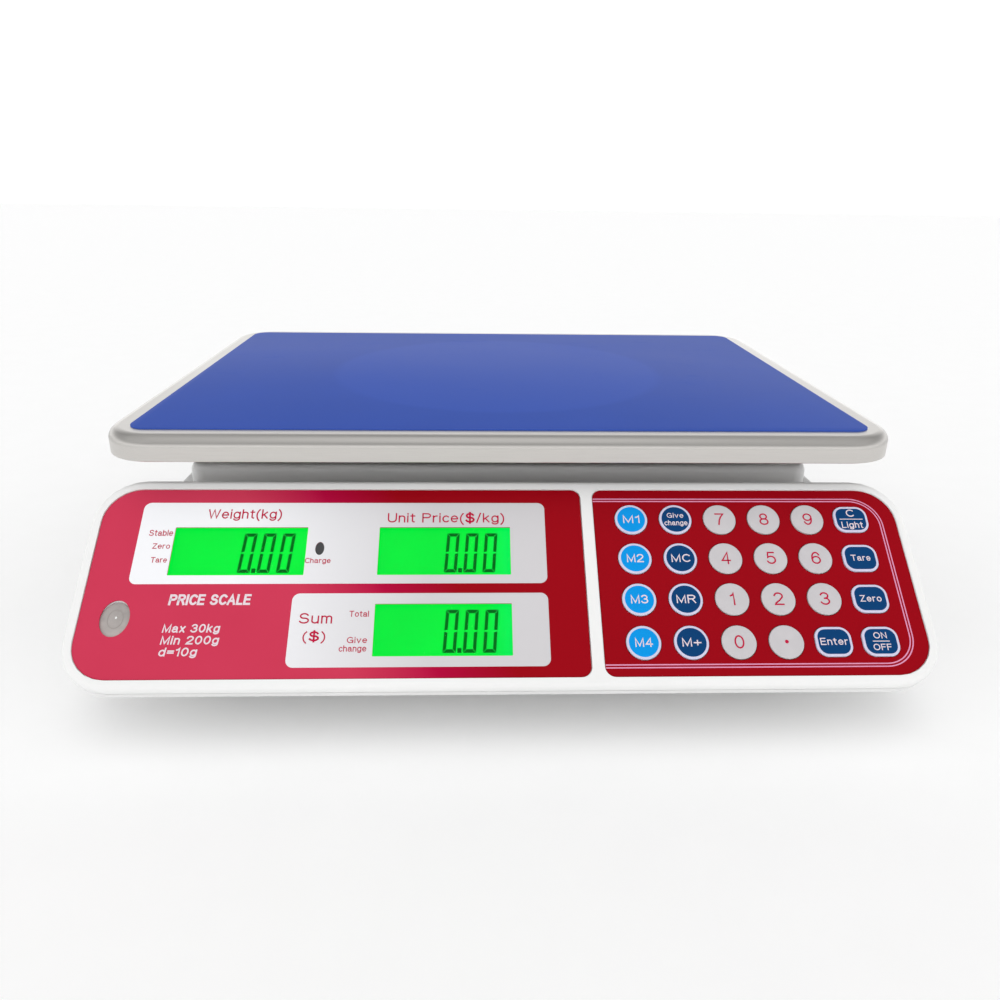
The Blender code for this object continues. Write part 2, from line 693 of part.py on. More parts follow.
def weighing_pan(shop):
    """A pressed steel tray with a turned-down skirt, and the printed film on it."""
    low, high = centred((0, 0), PAN_SIZE)
    middle = (0, PAN_CENTRE_Y, 0)
    outer = plate((*low, PAN_TOP_Z - PAN_HEIGHT), (*high, PAN_TOP_Z), PAN_CORNER, rim=PAN_EDGE)
    pan = shop.finish("weighing_pan", outer, "steel", location=middle)
    low, high = grown(low, high, -PAN_SHEET)
    inner = plate(
        (*low, PAN_TOP_Z - PAN_HEIGHT - 0.01),
        (*high, PAN_TOP_Z - PAN_SHEET),
        PAN_CORNER - PAN_SHEET,
        rim=PAN_EDGE - PAN_SHEET,
    )
    hollow = shop.helper("pan_hollow", inner)
    hollow.location = middle
    shop.cut(pan, hollow)
    low, high = grown(*centred((0, 0), PAN_SIZE), -FILM_BORDER)
    film = plate((*low, SCALE_HEIGHT - FILM_SHEET), (*high, SCALE_HEIGHT), FILM_CORNER)
    shop.finish("pan_film", film, "film", location=middle)
    return pan


def bolt_places(end):
    """The two bolt centres in one clamped end of the load cell; end is -1 or 1."""
    return [(end * CELL_END_X, PAN_CENTRE_Y + side * BOLT_SPACING / 2) for side in (-1, 1)]


def load_cell(shop):
    """A bending beam: a bar weakened by two bores and the slot that joins them."""
    length, width, height = CELL_SIZE
    middle_z = CELL_BOTTOM_Z + height / 2
    low = (-length / 2, PAN_CENTRE_Y - width / 2, CELL_BOTTOM_Z)
    high = (length / 2, PAN_CENTRE_Y + width / 2, CELL_BOTTOM_Z + height)
    cell = shop.finish("load_cell", box(low, high), "aluminium")
    bores = bmesh.new()
    turn = Matrix.Rotation(math.pi / 2, 4, "X")
    for x in (-CELL_BORE_X, CELL_BORE_X):
        place = Matrix.Translation((x, PAN_CENTRE_Y, middle_z)) @ turn
        bmesh.ops.create_cone(
            bores, cap_ends=True, segments=20, radius1=0.009, radius2=0.009, depth=0.05, matrix=place
        )
    slot = bmesh.new()
    slot_low = (-CELL_BORE_X, PAN_CENTRE_Y - width, middle_z - 0.003)
    add_box(slot, slot_low, (CELL_BORE_X, PAN_CENTRE_Y + width, middle_z + 0.003))
    holes = bmesh.new()
    for end in (-1, 1):
        for place in bolt_places(end):
            add_cylinder(holes, place, BOLT_HOLE_RADIUS, 0.0, 0.1, 12)
    return shop.cut(
        cell,
        shop.helper("cell_bores", bores),
        shop.helper("cell_slot", slot),
        shop.helper("cell_holes", holes),
    )


def load_cell_base(shop):
    """A cast foot on the tub floor, with a pedestal under the fixed end of the load cell."""
    floor = FLOOR_Z + WALL + GAP
    low, high = (-0.085, PAN_CENTRE_Y - 0.034), (0.085, PAN_CENTRE_Y + 0.034)
    foot = plate((*low, floor), (*high, floor + 0.006), 0.008, steps=3)
    base = shop.finish("load_cell_base", foot, "aluminium")
    x = -CELL_END_X
    low = (x - 0.015, PAN_CENTRE_Y - 0.016, floor + 0.004)
    pedestal = box(low, (x + 0.013, PAN_CENTRE_Y + 0.016, CELL_BOTTOM_Z - GAP))
    rib = box((x, PAN_CENTRE_Y - 0.004, floor + 0.0045), (0.080, PAN_CENTRE_Y + 0.004, floor + 0.012))
    holes = bmesh.new()
    for place in bolt_places(-1):
        add_cylinder(holes, place, BOLT_HOLE_RADIUS, floor + 0.008, 0.1, 12)
    shop.join(base, shop.helper("pedestal", pedestal), shop.helper("base_rib", rib))
    return shop.cut(base, shop.helper("pedestal_holes", holes))


def pan_spider(shop):
    """The cross that carries the pan, on a post that stands on the live end of the load cell."""
    spider = shop.finish(
        "pan_spider",
        plate(
            (-0.034, PAN_CENTRE_Y - 0.026, SPIDER_BOTTOM_Z),
            (0.066, PAN_CENTRE_Y + 0.026, SPIDER_TOP_Z - 0.0005),
            0.010,
            steps=3,
        ),
        "aluminium",
    )
    reach = math.hypot(*ARM_END)
    for number, (side, end) in enumerate(((1, 1), (1, -1))):
        angle = math.atan2(end * ARM_END[1], side * ARM_END[0])
        top = SPIDER_TOP_Z - 0.001 - 0.0012 * number  # the arms' faces stay clear of each other
        bar = box((-reach, -0.0065, SPIDER_BOTTOM_Z + 0.0005), (reach, 0.0065, top))
        arm = shop.helper(f"spider_arm_{number}", bar)
        arm.location = (0, PAN_CENTRE_Y, 0)
        arm.rotation_euler = (0, 0, angle)
        shop.join(spider, arm)
    ends = bmesh.new()
    for x, y in cushion_places().values():
        add_cylinder(ends, (x, y), 0.011, SPIDER_BOTTOM_Z + 0.001, SPIDER_TOP_Z)
    top = CELL_BOTTOM_Z + CELL_SIZE[2] + GAP
    low = (CELL_END_X - 0.013, PAN_CENTRE_Y - 0.015, top)
    post = box(low, (CELL_END_X + 0.0145, PAN_CENTRE_Y + 0.015, SPIDER_BOTTOM_Z + 0.002))
    shop.join(spider, shop.helper("spider_ends", ends), shop.helper("spider_post", post))
    holes = bmesh.new()
    for place in bolt_places(1):
        add_cylinder(holes, place, BOLT_HOLE_RADIUS, top - 0.01, top + 0.013, 12)
    return shop.cut(spider, shop.helper("post_holes", holes))


def cushion_places():
    return {
        "front_left": (-ARM_END[0], PAN_CENTRE_Y - ARM_END[1]),
        "front_right": (ARM_END[0], PAN_CENTRE_Y - ARM_END[1]),
        "back_left": (-ARM_END[0], PAN_CENTRE_Y + ARM_END[1]),
        "back_right": (ARM_END[0], PAN_CENTRE_Y + ARM_END[1]),
    }


def pan_cushions(shop):
    top = PAN_TOP_Z - PAN_SHEET - GAP - SPIDER_TOP_Z - GAP
    for corner, (x, y) in cushion_places().items():
        shape = cylinder((0, 0), CUSHION_RADIUS, 0.0, top, 20)
        bevel(shape, rim_edges(shape, top), 0.0015, 2)
        shop.finish(f"pan_cushion_{corner}", shape, "rubber", location=(x, y, SPIDER_TOP_Z + GAP))


def bolt_pair(shop, name, end, head_z, tip_z):
    """Two bolts through one end of the load cell, with the strap washer that both heads press on."""
    step = 1 if head_z > tip_z else -1
    strap = sorted((head_z, head_z + step * 0.0015))
    x = end * CELL_END_X
    low, high = (x - 0.007, PAN_CENTRE_Y - 0.0135), (x + 0.007, PAN_CENTRE_Y + 0.0135)
    pair = shop.finish(name, box((*low, strap[0]), (*high, strap[1])), "steel")
    heads = bmesh.new()
    shanks = bmesh.new()
    for place in bolt_places(end):
        add_cylinder(heads, place, 0.0055, *sorted((head_z + step * 0.001, head_z + step * 0.0055)), steps=6)
        add_cylinder(shanks, place, BOLT_RADIUS, *sorted((head_z + step * 0.0008, tip_z)), steps=12)
    return shop.join(pair, shop.helper(f"{name}_heads", heads), shop.helper(f"{name}_shanks", shanks))


def load_cell_bolts(shop):
    top, bottom = CELL_BOTTOM_Z + CELL_SIZE[2], CELL_BOTTOM_Z
    bolt_pair(shop, "fixed_end_bolts", -1, top + GAP, bottom - 0.015)
    bolt_pair(shop, "live_end_bolts", 1, bottom - GAP, top + 0.011)


# --- base ----------------------------------------------------------------------------------------------


def foot_places():
    return {
        "front_left": (-FOOT_X, FOOT_FRONT_Y),
        "front_right": (FOOT_X, FOOT_FRONT_Y),
        "back_left": (-FOOT_X, FOOT_BACK_Y),
        "back_right": (FOOT_X, FOOT_BACK_Y),
    }


def levelling_feet(shop):
    """Each foot is a rubber pad, and a thumbscrew that turns in it and threads into the shell."""
    pocket, pivot = 0.0035, 0.0032
    pad = (
        (0, 0.0020),
        (pocket, 0.0020),
        (pocket, PAD_HEIGHT),
        (FOOT_RADIUS - 0.0015, PAD_HEIGHT),
        (FOOT_RADIUS, PAD_HEIGHT - 0.0015),
        (FOOT_RADIUS, 0.0010),
        (FOOT_RADIUS - 0.001, 0),
        (0, 0),
    )
    wheel_low, wheel_high = PAD_HEIGHT + GAP, FLOOR_Z - GAP
    screw = (
        (0, 0.0225),
        (STUD_RADIUS - 0.0008, 0.0225),
        (STUD_RADIUS, 0.0217),
        (STUD_RADIUS, wheel_high),
        (0.0120, wheel_high),
        (0.0120, wheel_low),
        (pivot, wheel_low),
        (pivot, 0.0024),
        (0, 0.0024),
    )
    for corner, (x, y) in foot_places().items():
        turned(shop, f"foot_pad_{corner}", pad, "rubber", location=(x, y, 0))
        turned(shop, f"foot_screw_{corner}", screw, "black", location=(x, y, 0))


def battery(shop):
    low = Vector(BATTERY_LOW)
    high = low + Vector(BATTERY_SIZE)
    pack = shop.finish("battery", plate(low, high, 0.002, rim=0.0015, steps=2, rim_steps=1), "battery")
    tabs = bmesh.new()
    for y in (low.y + 0.014, high.y - 0.020):
        add_box(tabs, (high.x - 0.001, y, high.z - 0.012), (high.x + 0.006, y + 0.006, high.z - 0.0112))
    return shop.join(pack, shop.helper("battery_tabs", tabs))


def power_inlet(shop):
    """A low-voltage socket: a flange outside the wall, a barrel through it, and a centre pin."""
    outside = GAP
    profile = (
        (0, outside + 0.0005),
        (0.0010, outside + 0.0005),
        (0.0010, -0.0090),
        (0.0028, -0.0090),
        (0.0028, outside + 0.0020),
        (0.0050, outside + 0.0020),
        (0.0055, outside + 0.0015),
        (0.0055, outside),
        (0.0039, outside),
        (0.0039, -0.0120),
        (0, -0.0120),
    )
    return turned(
        shop,
        "power_inlet",
        profile,
        "black",
        location=(BODY_HALF_WIDTH, INLET_Y, INLET_Z),
        rotation=(0, math.pi / 2, 0),
        steps=16,
    )


# --- the scale -----------------------------------------------------------------------------------------


def main():
    clear_scene()
    shop = Workshop()
    face = shop.plane("console_plane", (0, FACE_FRONT_Y, FACE_FRONT_Z), (FACE_TILT, 0, 0))
    rear = shop.plane("rear_plane", (0, BODY_BACK_Y, SEAM_Z), (REAR_TILT, 0, math.pi))

    top_cover(shop, face, rear)
    bottom_shell(shop, face)
    battery_door(shop)
    battery(shop)
    power_inlet(shop)
    levelling_feet(shop)

    display_panel(shop, face)
    display_lens(shop, face)
    operator_lcds(shop, face)
    main_board(shop, face)
    charge_light(shop, face)
    spirit_level(shop, face)
    keypad_panel(shop, face)
    keypad_circuit(shop, face)
    keys(shop, face)
    customer_display(shop, rear)

    load_cell_base(shop)
    load_cell(shop)
    load_cell_bolts(shop)
    pan_spider(shop)
    pan_cushions(shop)
    weighing_pan(shop)


main()
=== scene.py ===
"""Retail price scale: finishes, printing, keys, displays and fittings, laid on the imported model.

Everything is in metres in the model's own frame: +X to the operator's right, +Y towards the customer, +Z up.
"""

import json
import math

import bmesh
import bpy
from mathutils import Matrix, Vector


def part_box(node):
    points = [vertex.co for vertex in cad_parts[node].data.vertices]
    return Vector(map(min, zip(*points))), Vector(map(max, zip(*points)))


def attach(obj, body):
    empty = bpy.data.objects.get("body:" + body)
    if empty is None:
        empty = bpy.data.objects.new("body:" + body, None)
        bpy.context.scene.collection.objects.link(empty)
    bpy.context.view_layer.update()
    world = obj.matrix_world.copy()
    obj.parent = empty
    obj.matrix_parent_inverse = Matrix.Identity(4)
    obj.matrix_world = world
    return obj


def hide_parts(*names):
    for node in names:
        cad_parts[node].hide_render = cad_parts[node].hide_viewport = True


bl_info = {
    "name": "Retail price scale",
    "version": (1, 0, 0),
    "blender": (4, 5, 0),
    "location": "View3D > Sidebar > Price Scale",
    "description": "Builds the finished pieces of a counter scale around its packed model",
    "category": "Object",
}

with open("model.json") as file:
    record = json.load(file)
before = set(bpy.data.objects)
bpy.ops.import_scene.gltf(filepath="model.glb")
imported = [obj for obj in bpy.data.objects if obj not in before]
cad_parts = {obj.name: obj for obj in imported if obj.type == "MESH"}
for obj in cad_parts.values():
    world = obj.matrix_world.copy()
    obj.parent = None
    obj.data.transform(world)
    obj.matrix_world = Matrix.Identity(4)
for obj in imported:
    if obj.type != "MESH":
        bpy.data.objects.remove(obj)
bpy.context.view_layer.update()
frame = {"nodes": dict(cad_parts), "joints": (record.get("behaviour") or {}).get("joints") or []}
NODES = frame["nodes"]

MM = 0.001
INK = 0.04 * MM  # thickness of anything printed
LIFT = 0.03 * MM  # between a surface and what is printed on it
ARC_STEPS = 14
TINY = 0.001 * MM  # points nearer than this are one

KEY_LEGENDS = {
    "key_m1": ("M1",),
    "key_m2": ("M2",),
    "key_m3": ("M3",),
    "key_m4": ("M4",),
    "key_change": ("Give", "change"),
    "key_mc": ("MC",),
    "key_mr": ("MR",),
    "key_m_plus": ("M+",),
    "key_clear_light": ("C", "Light"),
    "key_tare": ("Tare",),
    "key_zero": ("Zero",),
    "key_enter": ("Enter",),
    "key_on_off": ("ON", "OFF"),
    "key_point": (".",),
    **{f"key_{number}": (str(number),) for number in range(10)},
}
SQUARE_KEYS = ("key_clear_light", "key_tare", "key_zero", "key_enter", "key_on_off")
CORNERS = ("front_left", "front_right", "back_left", "back_right")


# --- planes that pieces lie in, worked out from the model -----------------------------------------------


def joint_axis(name):
    for joint in frame["joints"]:
        if joint["name"] == name:
            return Vector(joint["axis"])
    raise ValueError(f"the model has no joint named {name}")


def console_plane():
    """The operator's face: X to the right, Y up the slope, Z out of the face."""
    out = joint_axis("press_m1")
    low, _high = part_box("keypad_panel")
    top, bottom = -0.5 * MM, -1.0 * MM  # the printed sheet's two surfaces
    origin = Vector((0, low.y - top * out.y, low.z - bottom * out.z))
    across = Vector((1, 0, 0))
    turn = Matrix((across, out.cross(across), out)).transposed()
    return Matrix.Translation(origin) @ turn.to_4x4()


def customer_plane():
    """The rear printed sheet: X to the customer's right, Y up the slope, Z out of the face; and its height."""
    low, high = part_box("customer_panel")
    rise, run = high.z - low.z, high.y - low.y
    tilt = math.radians(65)
    height = (rise - 0.5 * MM * math.cos(tilt)) / math.sin(tilt)
    origin = Vector((0, high.y, low.z + 0.5 * MM * math.cos(tilt)))
    turn = Matrix.Rotation(math.pi, 4, "Z") @ Matrix.Rotation(tilt, 4, "X")
    return Matrix.Translation(origin) @ turn, height


CONSOLE = console_plane()
REAR, REAR_HEIGHT = customer_plane()
SHEET_TOP = -0.5 * MM  # the printed sheet's surface, measured out of the console's face


def console_middle(node):
    """A node's middle in the console's plane."""
    low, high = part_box(node)
    return CONSOLE.inverted() @ ((low + high) / 2)


# --- settings a user would change -----------------------------------------------------------------------


def colour(name, value, description):
    return bpy.props.FloatVectorProperty(
        name=name, description=description, subtype="COLOR", size=3, min=0.0, max=1.0, default=value
    )


def length(name, value, description):
    return bpy.props.FloatProperty(
        name=name, description=description, subtype="DISTANCE", unit="LENGTH", min=0.0, default=value
    )


class ScaleColours(bpy.types.PropertyGroup):
    housing: colour("Housing", (0.83, 0.83, 0.825), "Moulded shells")
    panel: colour("Panel", (0.305, 0.0015, 0.007), "Printed panels, at their deep end")
    # The panels' middle and pale-end colours are a painted reflection that fades into the deep red.
    panel_middle: colour("Panel, middle", (0.434, 0.002, 0.048), "Printed panels, between their ends")
    panel_light: colour("Panel, light end", (0.578, 0.042, 0.091), "Printed panels, at their pale end")
    label: colour("Fields", (0.86, 0.865, 0.89), "Pale fields, at their white end")
    # The fields' grey end is painted shade.
    label_grey: colour("Fields, grey end", (0.60, 0.585, 0.60), "Pale fields, at their grey end")
    film: colour("Pan film", (0.046, 0.094, 0.402), "Protective film on the pan")
    backlight: colour("Backlight", (0.0, 0.91, 0.045), "Light behind the displays")
    segment: colour("Segments", (0.0, 0.150, 0.012), "Dark display segments")
    print_red: colour("Red print", (0.50, 0.012, 0.055), "Legends on the pale fields")
    print_white: colour("White print", (0.78, 0.67, 0.72), "Legends on the panels and blue keys")
    stripe: colour("Stripes", (0.753, 0.305, 0.485), "Lines round the keypad")
    number_key: colour("Number keys", (0.56, 0.54, 0.555), "Silver-grey key caps")
    function_key: colour("Function keys", (0.001, 0.046, 0.160), "Dark blue key caps")
    memory_key: colour("Memory keys", (0.001, 0.292, 0.753), "Light blue key caps")
    key_rim: colour("Key rims", (0.62, 0.60, 0.76), "Pale rim round a blue key")


class ScaleSizes(bpy.types.PropertyGroup):
    label_corner: length("Label corner", 3.0 * MM, "Corner radius of the pale fields")
    digit_height: length("Digit height", 17.8 * MM, "Height of a display digit")
    digit_width: length("Digit width", 5.2 * MM, "Width of a display digit")
    digit_pitch: length("Digit pitch", 7.9 * MM, "Distance from one display digit to the next")
    bar: length("Bar", 1.45 * MM, "Thickness of a digit's level segments")
    post: length("Post", 1.3 * MM, "Thickness of a digit's upright segments")
    key_ring: length("Key rim", 1.0 * MM, "Width of the pale rim round a blue key")
    key_crown: length("Key crown", 0.12 * MM, "Rise of a key cap's middle over its edge")


def angle(name, degrees, description):
    return bpy.props.FloatProperty(
        name=name, description=description, subtype="ANGLE", default=math.radians(degrees)
    )


class ScaleStage(bpy.types.PropertyGroup):
    camera_place: bpy.props.FloatVectorProperty(
        name="Camera",
        description="Where the camera stands",
        subtype="XYZ",
        default=(-0.01413, -0.42807, 0.20692),
    )
    camera_pan: angle("Pan", -2.126, "Camera turn about the vertical")
    camera_pitch: angle("Pitch", 21.437, "How far the camera looks down")
    camera_roll: angle("Roll", 0.821, "Camera roll")
    lens: bpy.props.FloatProperty(name="Lens", description="Focal length in millimetres", default=29.44)
    floor: colour("Floor", (1.0, 1.0, 1.0), "Plain floor")


SETTINGS = {"scale_colours": ScaleColours, "scale_sizes": ScaleSizes, "scale_stage": ScaleStage}


def colours():
    return bpy.context.scene.scale_colours


def tone(name):
    """One of the user's colours."""
    return tuple(getattr(colours(), name))


def sizes():
    return bpy.context.scene.scale_sizes


# --- materials ------------------------------------------------------------------------------------------


class Wire:
    """An output socket whose operators add the Math nodes that work out an expression."""

    def __init__(self, sheet, socket):
        self.sheet = sheet
        self.socket = socket

    def maths(self, operation, *values, clamp=False):
        settings = {"operation": operation, "use_clamp": clamp}
        return self.sheet.add("ShaderNodeMath", settings, dict(enumerate(values)))

    def __add__(self, other):
        return self.maths("ADD", self, other)

    __radd__ = __add__

    def __sub__(self, other):
        return self.maths("SUBTRACT", self, other)

    def __rsub__(self, other):
        return self.maths("SUBTRACT", other, self)

    def __mul__(self, other):
        return self.maths("MULTIPLY", self, other)

    def __truediv__(self, other):
        return self.maths("DIVIDE", self, other)

    def __pow__(self, other):
        return self.maths("POWER", self, other)

    def root(self):
        return self.maths("SQRT", self)

    def sine(self):
        return self.maths("SINE", self)

    def ramp(self, start, end):
        """Zero up to start, one from end on, and straight between."""
        return self.maths("MULTIPLY", self - start, 1.0 / (end - start), clamp=True)


class Sheet:
    """One material: a Principled shader and the nodes that feed it."""

    def __init__(self, name, base, roughness, metallic=0.0, **constants):
        self.material = bpy.data.materials.new(name)
        self.material.use_nodes = True
        self.nodes = self.material.node_tree.nodes
        self.shader = self.nodes["Principled BSDF"]
        self.set("Base Color", (*base, 1.0))
        self.set("Roughness", roughness)
        self.set("Metallic", metallic)
        for socket, value in constants.items():
            self.set(socket.replace("_", " ").title().replace("Ior", "IOR"), value)

    def set(self, socket, value):
        self.shader.inputs[socket].default_value = value

    def add(self, kind, settings, values, output=0):
        """A node of this type, with its settings made first, then the values or links of its sockets."""
        node = self.nodes.new(kind)
        for key, value in settings.items():
            if key == "stops":
                self.set_stops(node.color_ramp, value)
            else:
                setattr(node, key, value)
        for key, value in values.items():
            if isinstance(value, Wire):
                self.material.node_tree.links.new(value.socket, node.inputs[key])
            else:
                node.inputs[key].default_value = value
        return Wire(self, node.outputs[output])

    def set_stops(self, ramp, stops):
        while len(ramp.elements) < len(stops):
            ramp.elements.new(1.0)
        for element, (position, value) in zip(ramp.elements, stops):
            element.position = position
            element.color = value

    def link(self, socket, wire):
        self.material.node_tree.links.new(wire.socket, self.shader.inputs[socket])

    def place(self):
        return self.add("ShaderNodeTexCoord", {}, {}, "Object")

    def axes(self):
        """The three coordinates of a point of the object."""
        node = self.nodes.new("ShaderNodeSeparateXYZ")
        self.material.node_tree.links.new(self.place().socket, node.inputs[0])
        return [Wire(self, socket) for socket in node.outputs]

    def stretched(self, stretch):
        return self.add("ShaderNodeVectorMath", {"operation": "MULTIPLY"}, {0: self.place(), 1: stretch})

    def noise(self, scale, detail=2.0, roughness=0.5, stretch=(1, 1, 1)):
        values = {"Vector": self.stretched(stretch), "Scale": scale, "Detail": detail, "Roughness": roughness}
        return self.add("ShaderNodeTexNoise", {}, values)

    def mix(self, factor, first, second):
        """A blend of two colours."""
        ends = [value if isinstance(value, Wire) else (*value, 1.0) for value in (first, second)]
        return self.add("ShaderNodeMix", {"data_type": "RGBA"}, {0: factor, 6: ends[0], 7: ends[1]}, 2)

    def tint(self, wire):
        self.link("Base Color", wire)
        return self

    def rough(self, wire):
        self.link("Roughness", wire)
        return self

    def bump(self, height, distance, strength=1.0):
        self.link(
            "Normal",
            self.add("ShaderNodeBump", {}, {"Height": height, "Distance": distance, "Strength": strength}),
        )
        return self


def shaded(base, factor):
    """A colour made darker or lighter."""
    return tuple(min(1.0, channel * factor) for channel in base)


def housing_plastic():
    """White moulded plastic: a spark-eroded grain, a little grime in broad patches, and darker towards the
    bottom.
    """
    base = tone("housing")
    sheet = Sheet("housing_white", base, 0.46, specular_ior_level=0.25)
    grain = sheet.noise(2300, 3.0, 0.6)
    broad = sheet.noise(11, 4.0, 0.55)
    _x, _y, height = sheet.axes()
    # Darker towards the bottom of the housing.
    low_down = 1 - height.ramp(0.010, 0.045)
    sheet.tint(sheet.mix(broad.ramp(0.35, 0.75) * 0.55 + low_down * 0.3, base, shaded(base, 0.94)))
    sheet.rough(0.38 + grain * 0.12 + broad * 0.08)
    return sheet.bump(grain, 0.05 * MM, 0.35)


def panel_print():
    """Red printed sheet with a painted reflection: pale at the operator's left, fading past a slanting band to
    the deep red towards the right.
    """
    deep, middle, pale = tone("panel"), tone("panel_middle"), tone("panel_light")
    sheet = Sheet("panel_red", deep, 0.36, specular_ior_level=0.03)
    across, _y, height = sheet.axes()
    slant = across + (height - 0.030)
    texture = sheet.noise(3200, 2.0)
    cloud = sheet.noise(22, 3.0)
    # Painted reflection: pale at the left, through the middle tone to the deep red on the right.
    blend = sheet.mix(slant.ramp(-0.060, -0.026), pale, middle)
    blend = sheet.mix(slant.ramp(-0.032, 0.004), blend, deep)
    sheet.tint(sheet.mix(cloud.ramp(0.45, 0.8) * 0.10, blend, shaded(deep, 1.15)))
    return sheet.rough(0.32 + cloud * 0.08).bump(texture, 0.015 * MM, 0.25)


def plain_panel_print():
    deep = tone("panel")
    sheet = Sheet("panel_deep_red", deep, 0.36, specular_ior_level=0.03)
    texture = sheet.noise(3200, 2.0)
    cloud = sheet.noise(22, 3.0)
    sheet.tint(sheet.mix(cloud.ramp(0.3, 0.8) * 0.6, deep, shaded(deep, 0.92)))
    return sheet.rough(0.32 + cloud * 0.08).bump(texture, 0.015 * MM, 0.25)


def label_print():
    """The pale fields, with painted light: white at the operator's left, turning through painted shade to a
    cool grey towards the right.
    """
    white, grey = tone("label"), tone("label_grey")
    sheet = Sheet("label_pale", white, 0.38, specular_ior_level=0.03)
    across, _y, _z = sheet.axes()
    texture = sheet.noise(3200, 2.0)
    cloud = sheet.noise(30, 3.0)
    # Painted shade: the white fades to grey towards the operator's right.
    sheet.tint(sheet.mix(across.ramp(-0.110, -0.030) * (0.95 + cloud * 0.1), white, grey))
    return sheet.rough(0.34 + cloud * 0.08).bump(texture, 0.015 * MM, 0.25)


def grained(
    name, base, rough, grain, spots, spread, shade, dip, swing, relief=None, metallic=0.0, **constants
):
    """A finish with spots of another shade, and a grain in its gloss and surface.

    The base is a colour, or the name of one of the user's.
    """

    def build():
        full = tone(base) if isinstance(base, str) else base
        sheet = Sheet(name, full, rough, metallic, **constants)
        fine = sheet.noise(*grain)
        broad = sheet.noise(*spots) if spots else fine
        sheet.tint(sheet.mix(broad.ramp(*spread), full, shaded(full, shade)))
        sheet.rough(rough - dip + fine * swing)
        return sheet.bump(fine, *relief) if relief else sheet

    return build


def ink(name, base, rough=0.5):
    return grained(name, base, rough, (450, 3.0), None, (0.3, 0.7), 0.93, 0.05, 0.1, specular_ior_level=0.03)


def key_plastic(name, base):
    """A moulded key cap with a satin surface."""
    noises = (3400, 2.0), (170, 2.0), (0.3, 0.75)
    return grained(name, base, 0.40, *noises, 0.95, 0.04, 0.08, (0.02 * MM, 0.15), specular_ior_level=0.06)


def dark_plastic(name, base, rough):
    noises = (1900, 3.0), (60, 3.0), (0.35, 0.75)
    return grained(name, base, rough, *noises, 1.6, 0.06, 0.16, (0.04 * MM, 0.35))


def bolt_metal(name, base, rough):
    noises = (420, 4.0, 0.6), None, (0.4, 0.7)
    return grained(name, base, rough, *noises, 0.78, 0.05, 0.18, (0.02 * MM, 0.3), 1.0)


def wire_coating(name, base):
    return grained(name, base, 0.38, (900, 2.0), None, (0.3, 0.7), 0.85, 0.06, 0.12, (0.02 * MM, 0.2))


def backlight(name="display_green", right_end=0.0):
    """The lit display: bright green, a little dimmer in soft patches and paler past its right end."""

    def build():
        base = tone("backlight")
        sheet = Sheet(name, shaded(base, 0.03), 0.4, specular_ior_level=0.05, emission_strength=1.0)
        across, _y, _z = sheet.axes()
        cloud = sheet.noise(28, 2.0)
        weave = sheet.noise(1500, 1.0)
        glow = sheet.mix(cloud.ramp(0.35, 0.70), shaded(base, 0.90), base)
        end = across.ramp(right_end - 0.008, right_end)
        sheet.link("Emission Color", sheet.mix(end * 0.4 + weave * 0.05, glow, (0.0, 0.93, 0.16)))
        return sheet.rough(0.36 + weave * 0.08)

    return build


def clear_window():
    """Clear sheet over the displays: it only adds a faint reflection."""
    sheet = Sheet("clear_acrylic", (0.01, 0.02, 0.01), 0.06, alpha=0.02)
    smear = sheet.noise(60, 3.0)
    sheet.rough(0.05 + smear * 0.06)
    return sheet.bump(smear, 0.01 * MM, 0.2)


def satin_steel():
    """Stainless steel: a fine grain along X, shallow scratches, and a painted dark reflection in a band round
    its pressed edge.
    """
    base = (0.61, 0.59, 0.565)
    sheet = Sheet("pan_steel", base, 0.30, 1.0)
    _x, _y, height = sheet.axes()
    grain = sheet.noise(55, 5.0, 0.65, (1.0, 60.0, 60.0))
    broad = sheet.noise(9, 3.0)
    scratch = sheet.noise(38, 4.0, 0.7, (1.0, 22.0, 22.0)).ramp(0.66, 0.72)
    # Painted reflection: a dark band in the rounding of the pressed edge.
    edge = height.ramp(0.1022, 0.1042) * (1 - height.ramp(0.1067, 0.1074))
    plain = sheet.mix(grain.ramp(0.3, 0.7), base, shaded(base, 0.93))
    sheet.tint(sheet.mix(edge * 0.85, plain, shaded(base, 0.52)))
    sheet.rough(0.24 + grain * 0.10 + broad * 0.08 + scratch * 0.08)
    return sheet.bump(grain + scratch * 0.4, 0.010 * MM, 0.25)


def pan_film():
    """Blue film: slight orange peel, faint air marks, and the large pressed oval of the tray beneath, with a
    painted highlight inside it.
    """
    base = tone("film")
    sheet = Sheet("pan_film_blue", base, 0.50, specular_ior_level=0.02)
    across, along, _z = sheet.axes()
    low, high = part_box("pan_film")
    middle = (low + high) / 2
    reach = (((across - middle.x) / 0.088) ** 2 + ((along - middle.y) / 0.088) ** 2).root()
    pressed = 1 - reach.ramp(0.97, 1.03)
    peel = sheet.noise(700, 3.0)
    cloud = sheet.noise(13, 4.0, 0.6)
    rub = sheet.noise(34, 4.0, 0.7, (1.0, 5.0, 1.0)).ramp(0.62, 0.72)
    blend = sheet.mix(cloud.ramp(0.35, 0.7), shaded(base, 0.97), shaded(base, 1.03))
    # Painted highlight: the pressed oval is drawn lighter inside, as well as raised.
    blend = sheet.mix(pressed * 0.6, blend, shaded(base, 1.12))
    sheet.tint(sheet.mix(rub * 0.06, blend, shaded(base, 1.3)))
    sheet.rough(0.46 + cloud * 0.08 + rub * 0.06)
    return sheet.bump(peel * 0.12 + pressed * 0.6, 0.05 * MM, 0.25)


def rubber():
    base = (0.018, 0.018, 0.019)
    sheet = Sheet("rubber_black", base, 0.82, specular_ior_level=0.3)
    grain = sheet.noise(1300, 4.0, 0.7)
    dust = sheet.noise(120, 4.0, 0.7).ramp(0.5, 0.75)
    sheet.tint(sheet.mix(dust * 0.5, base, (0.07, 0.068, 0.065)))
    return sheet.rough(0.72 + grain * 0.2).bump(grain, 0.06 * MM, 0.5)


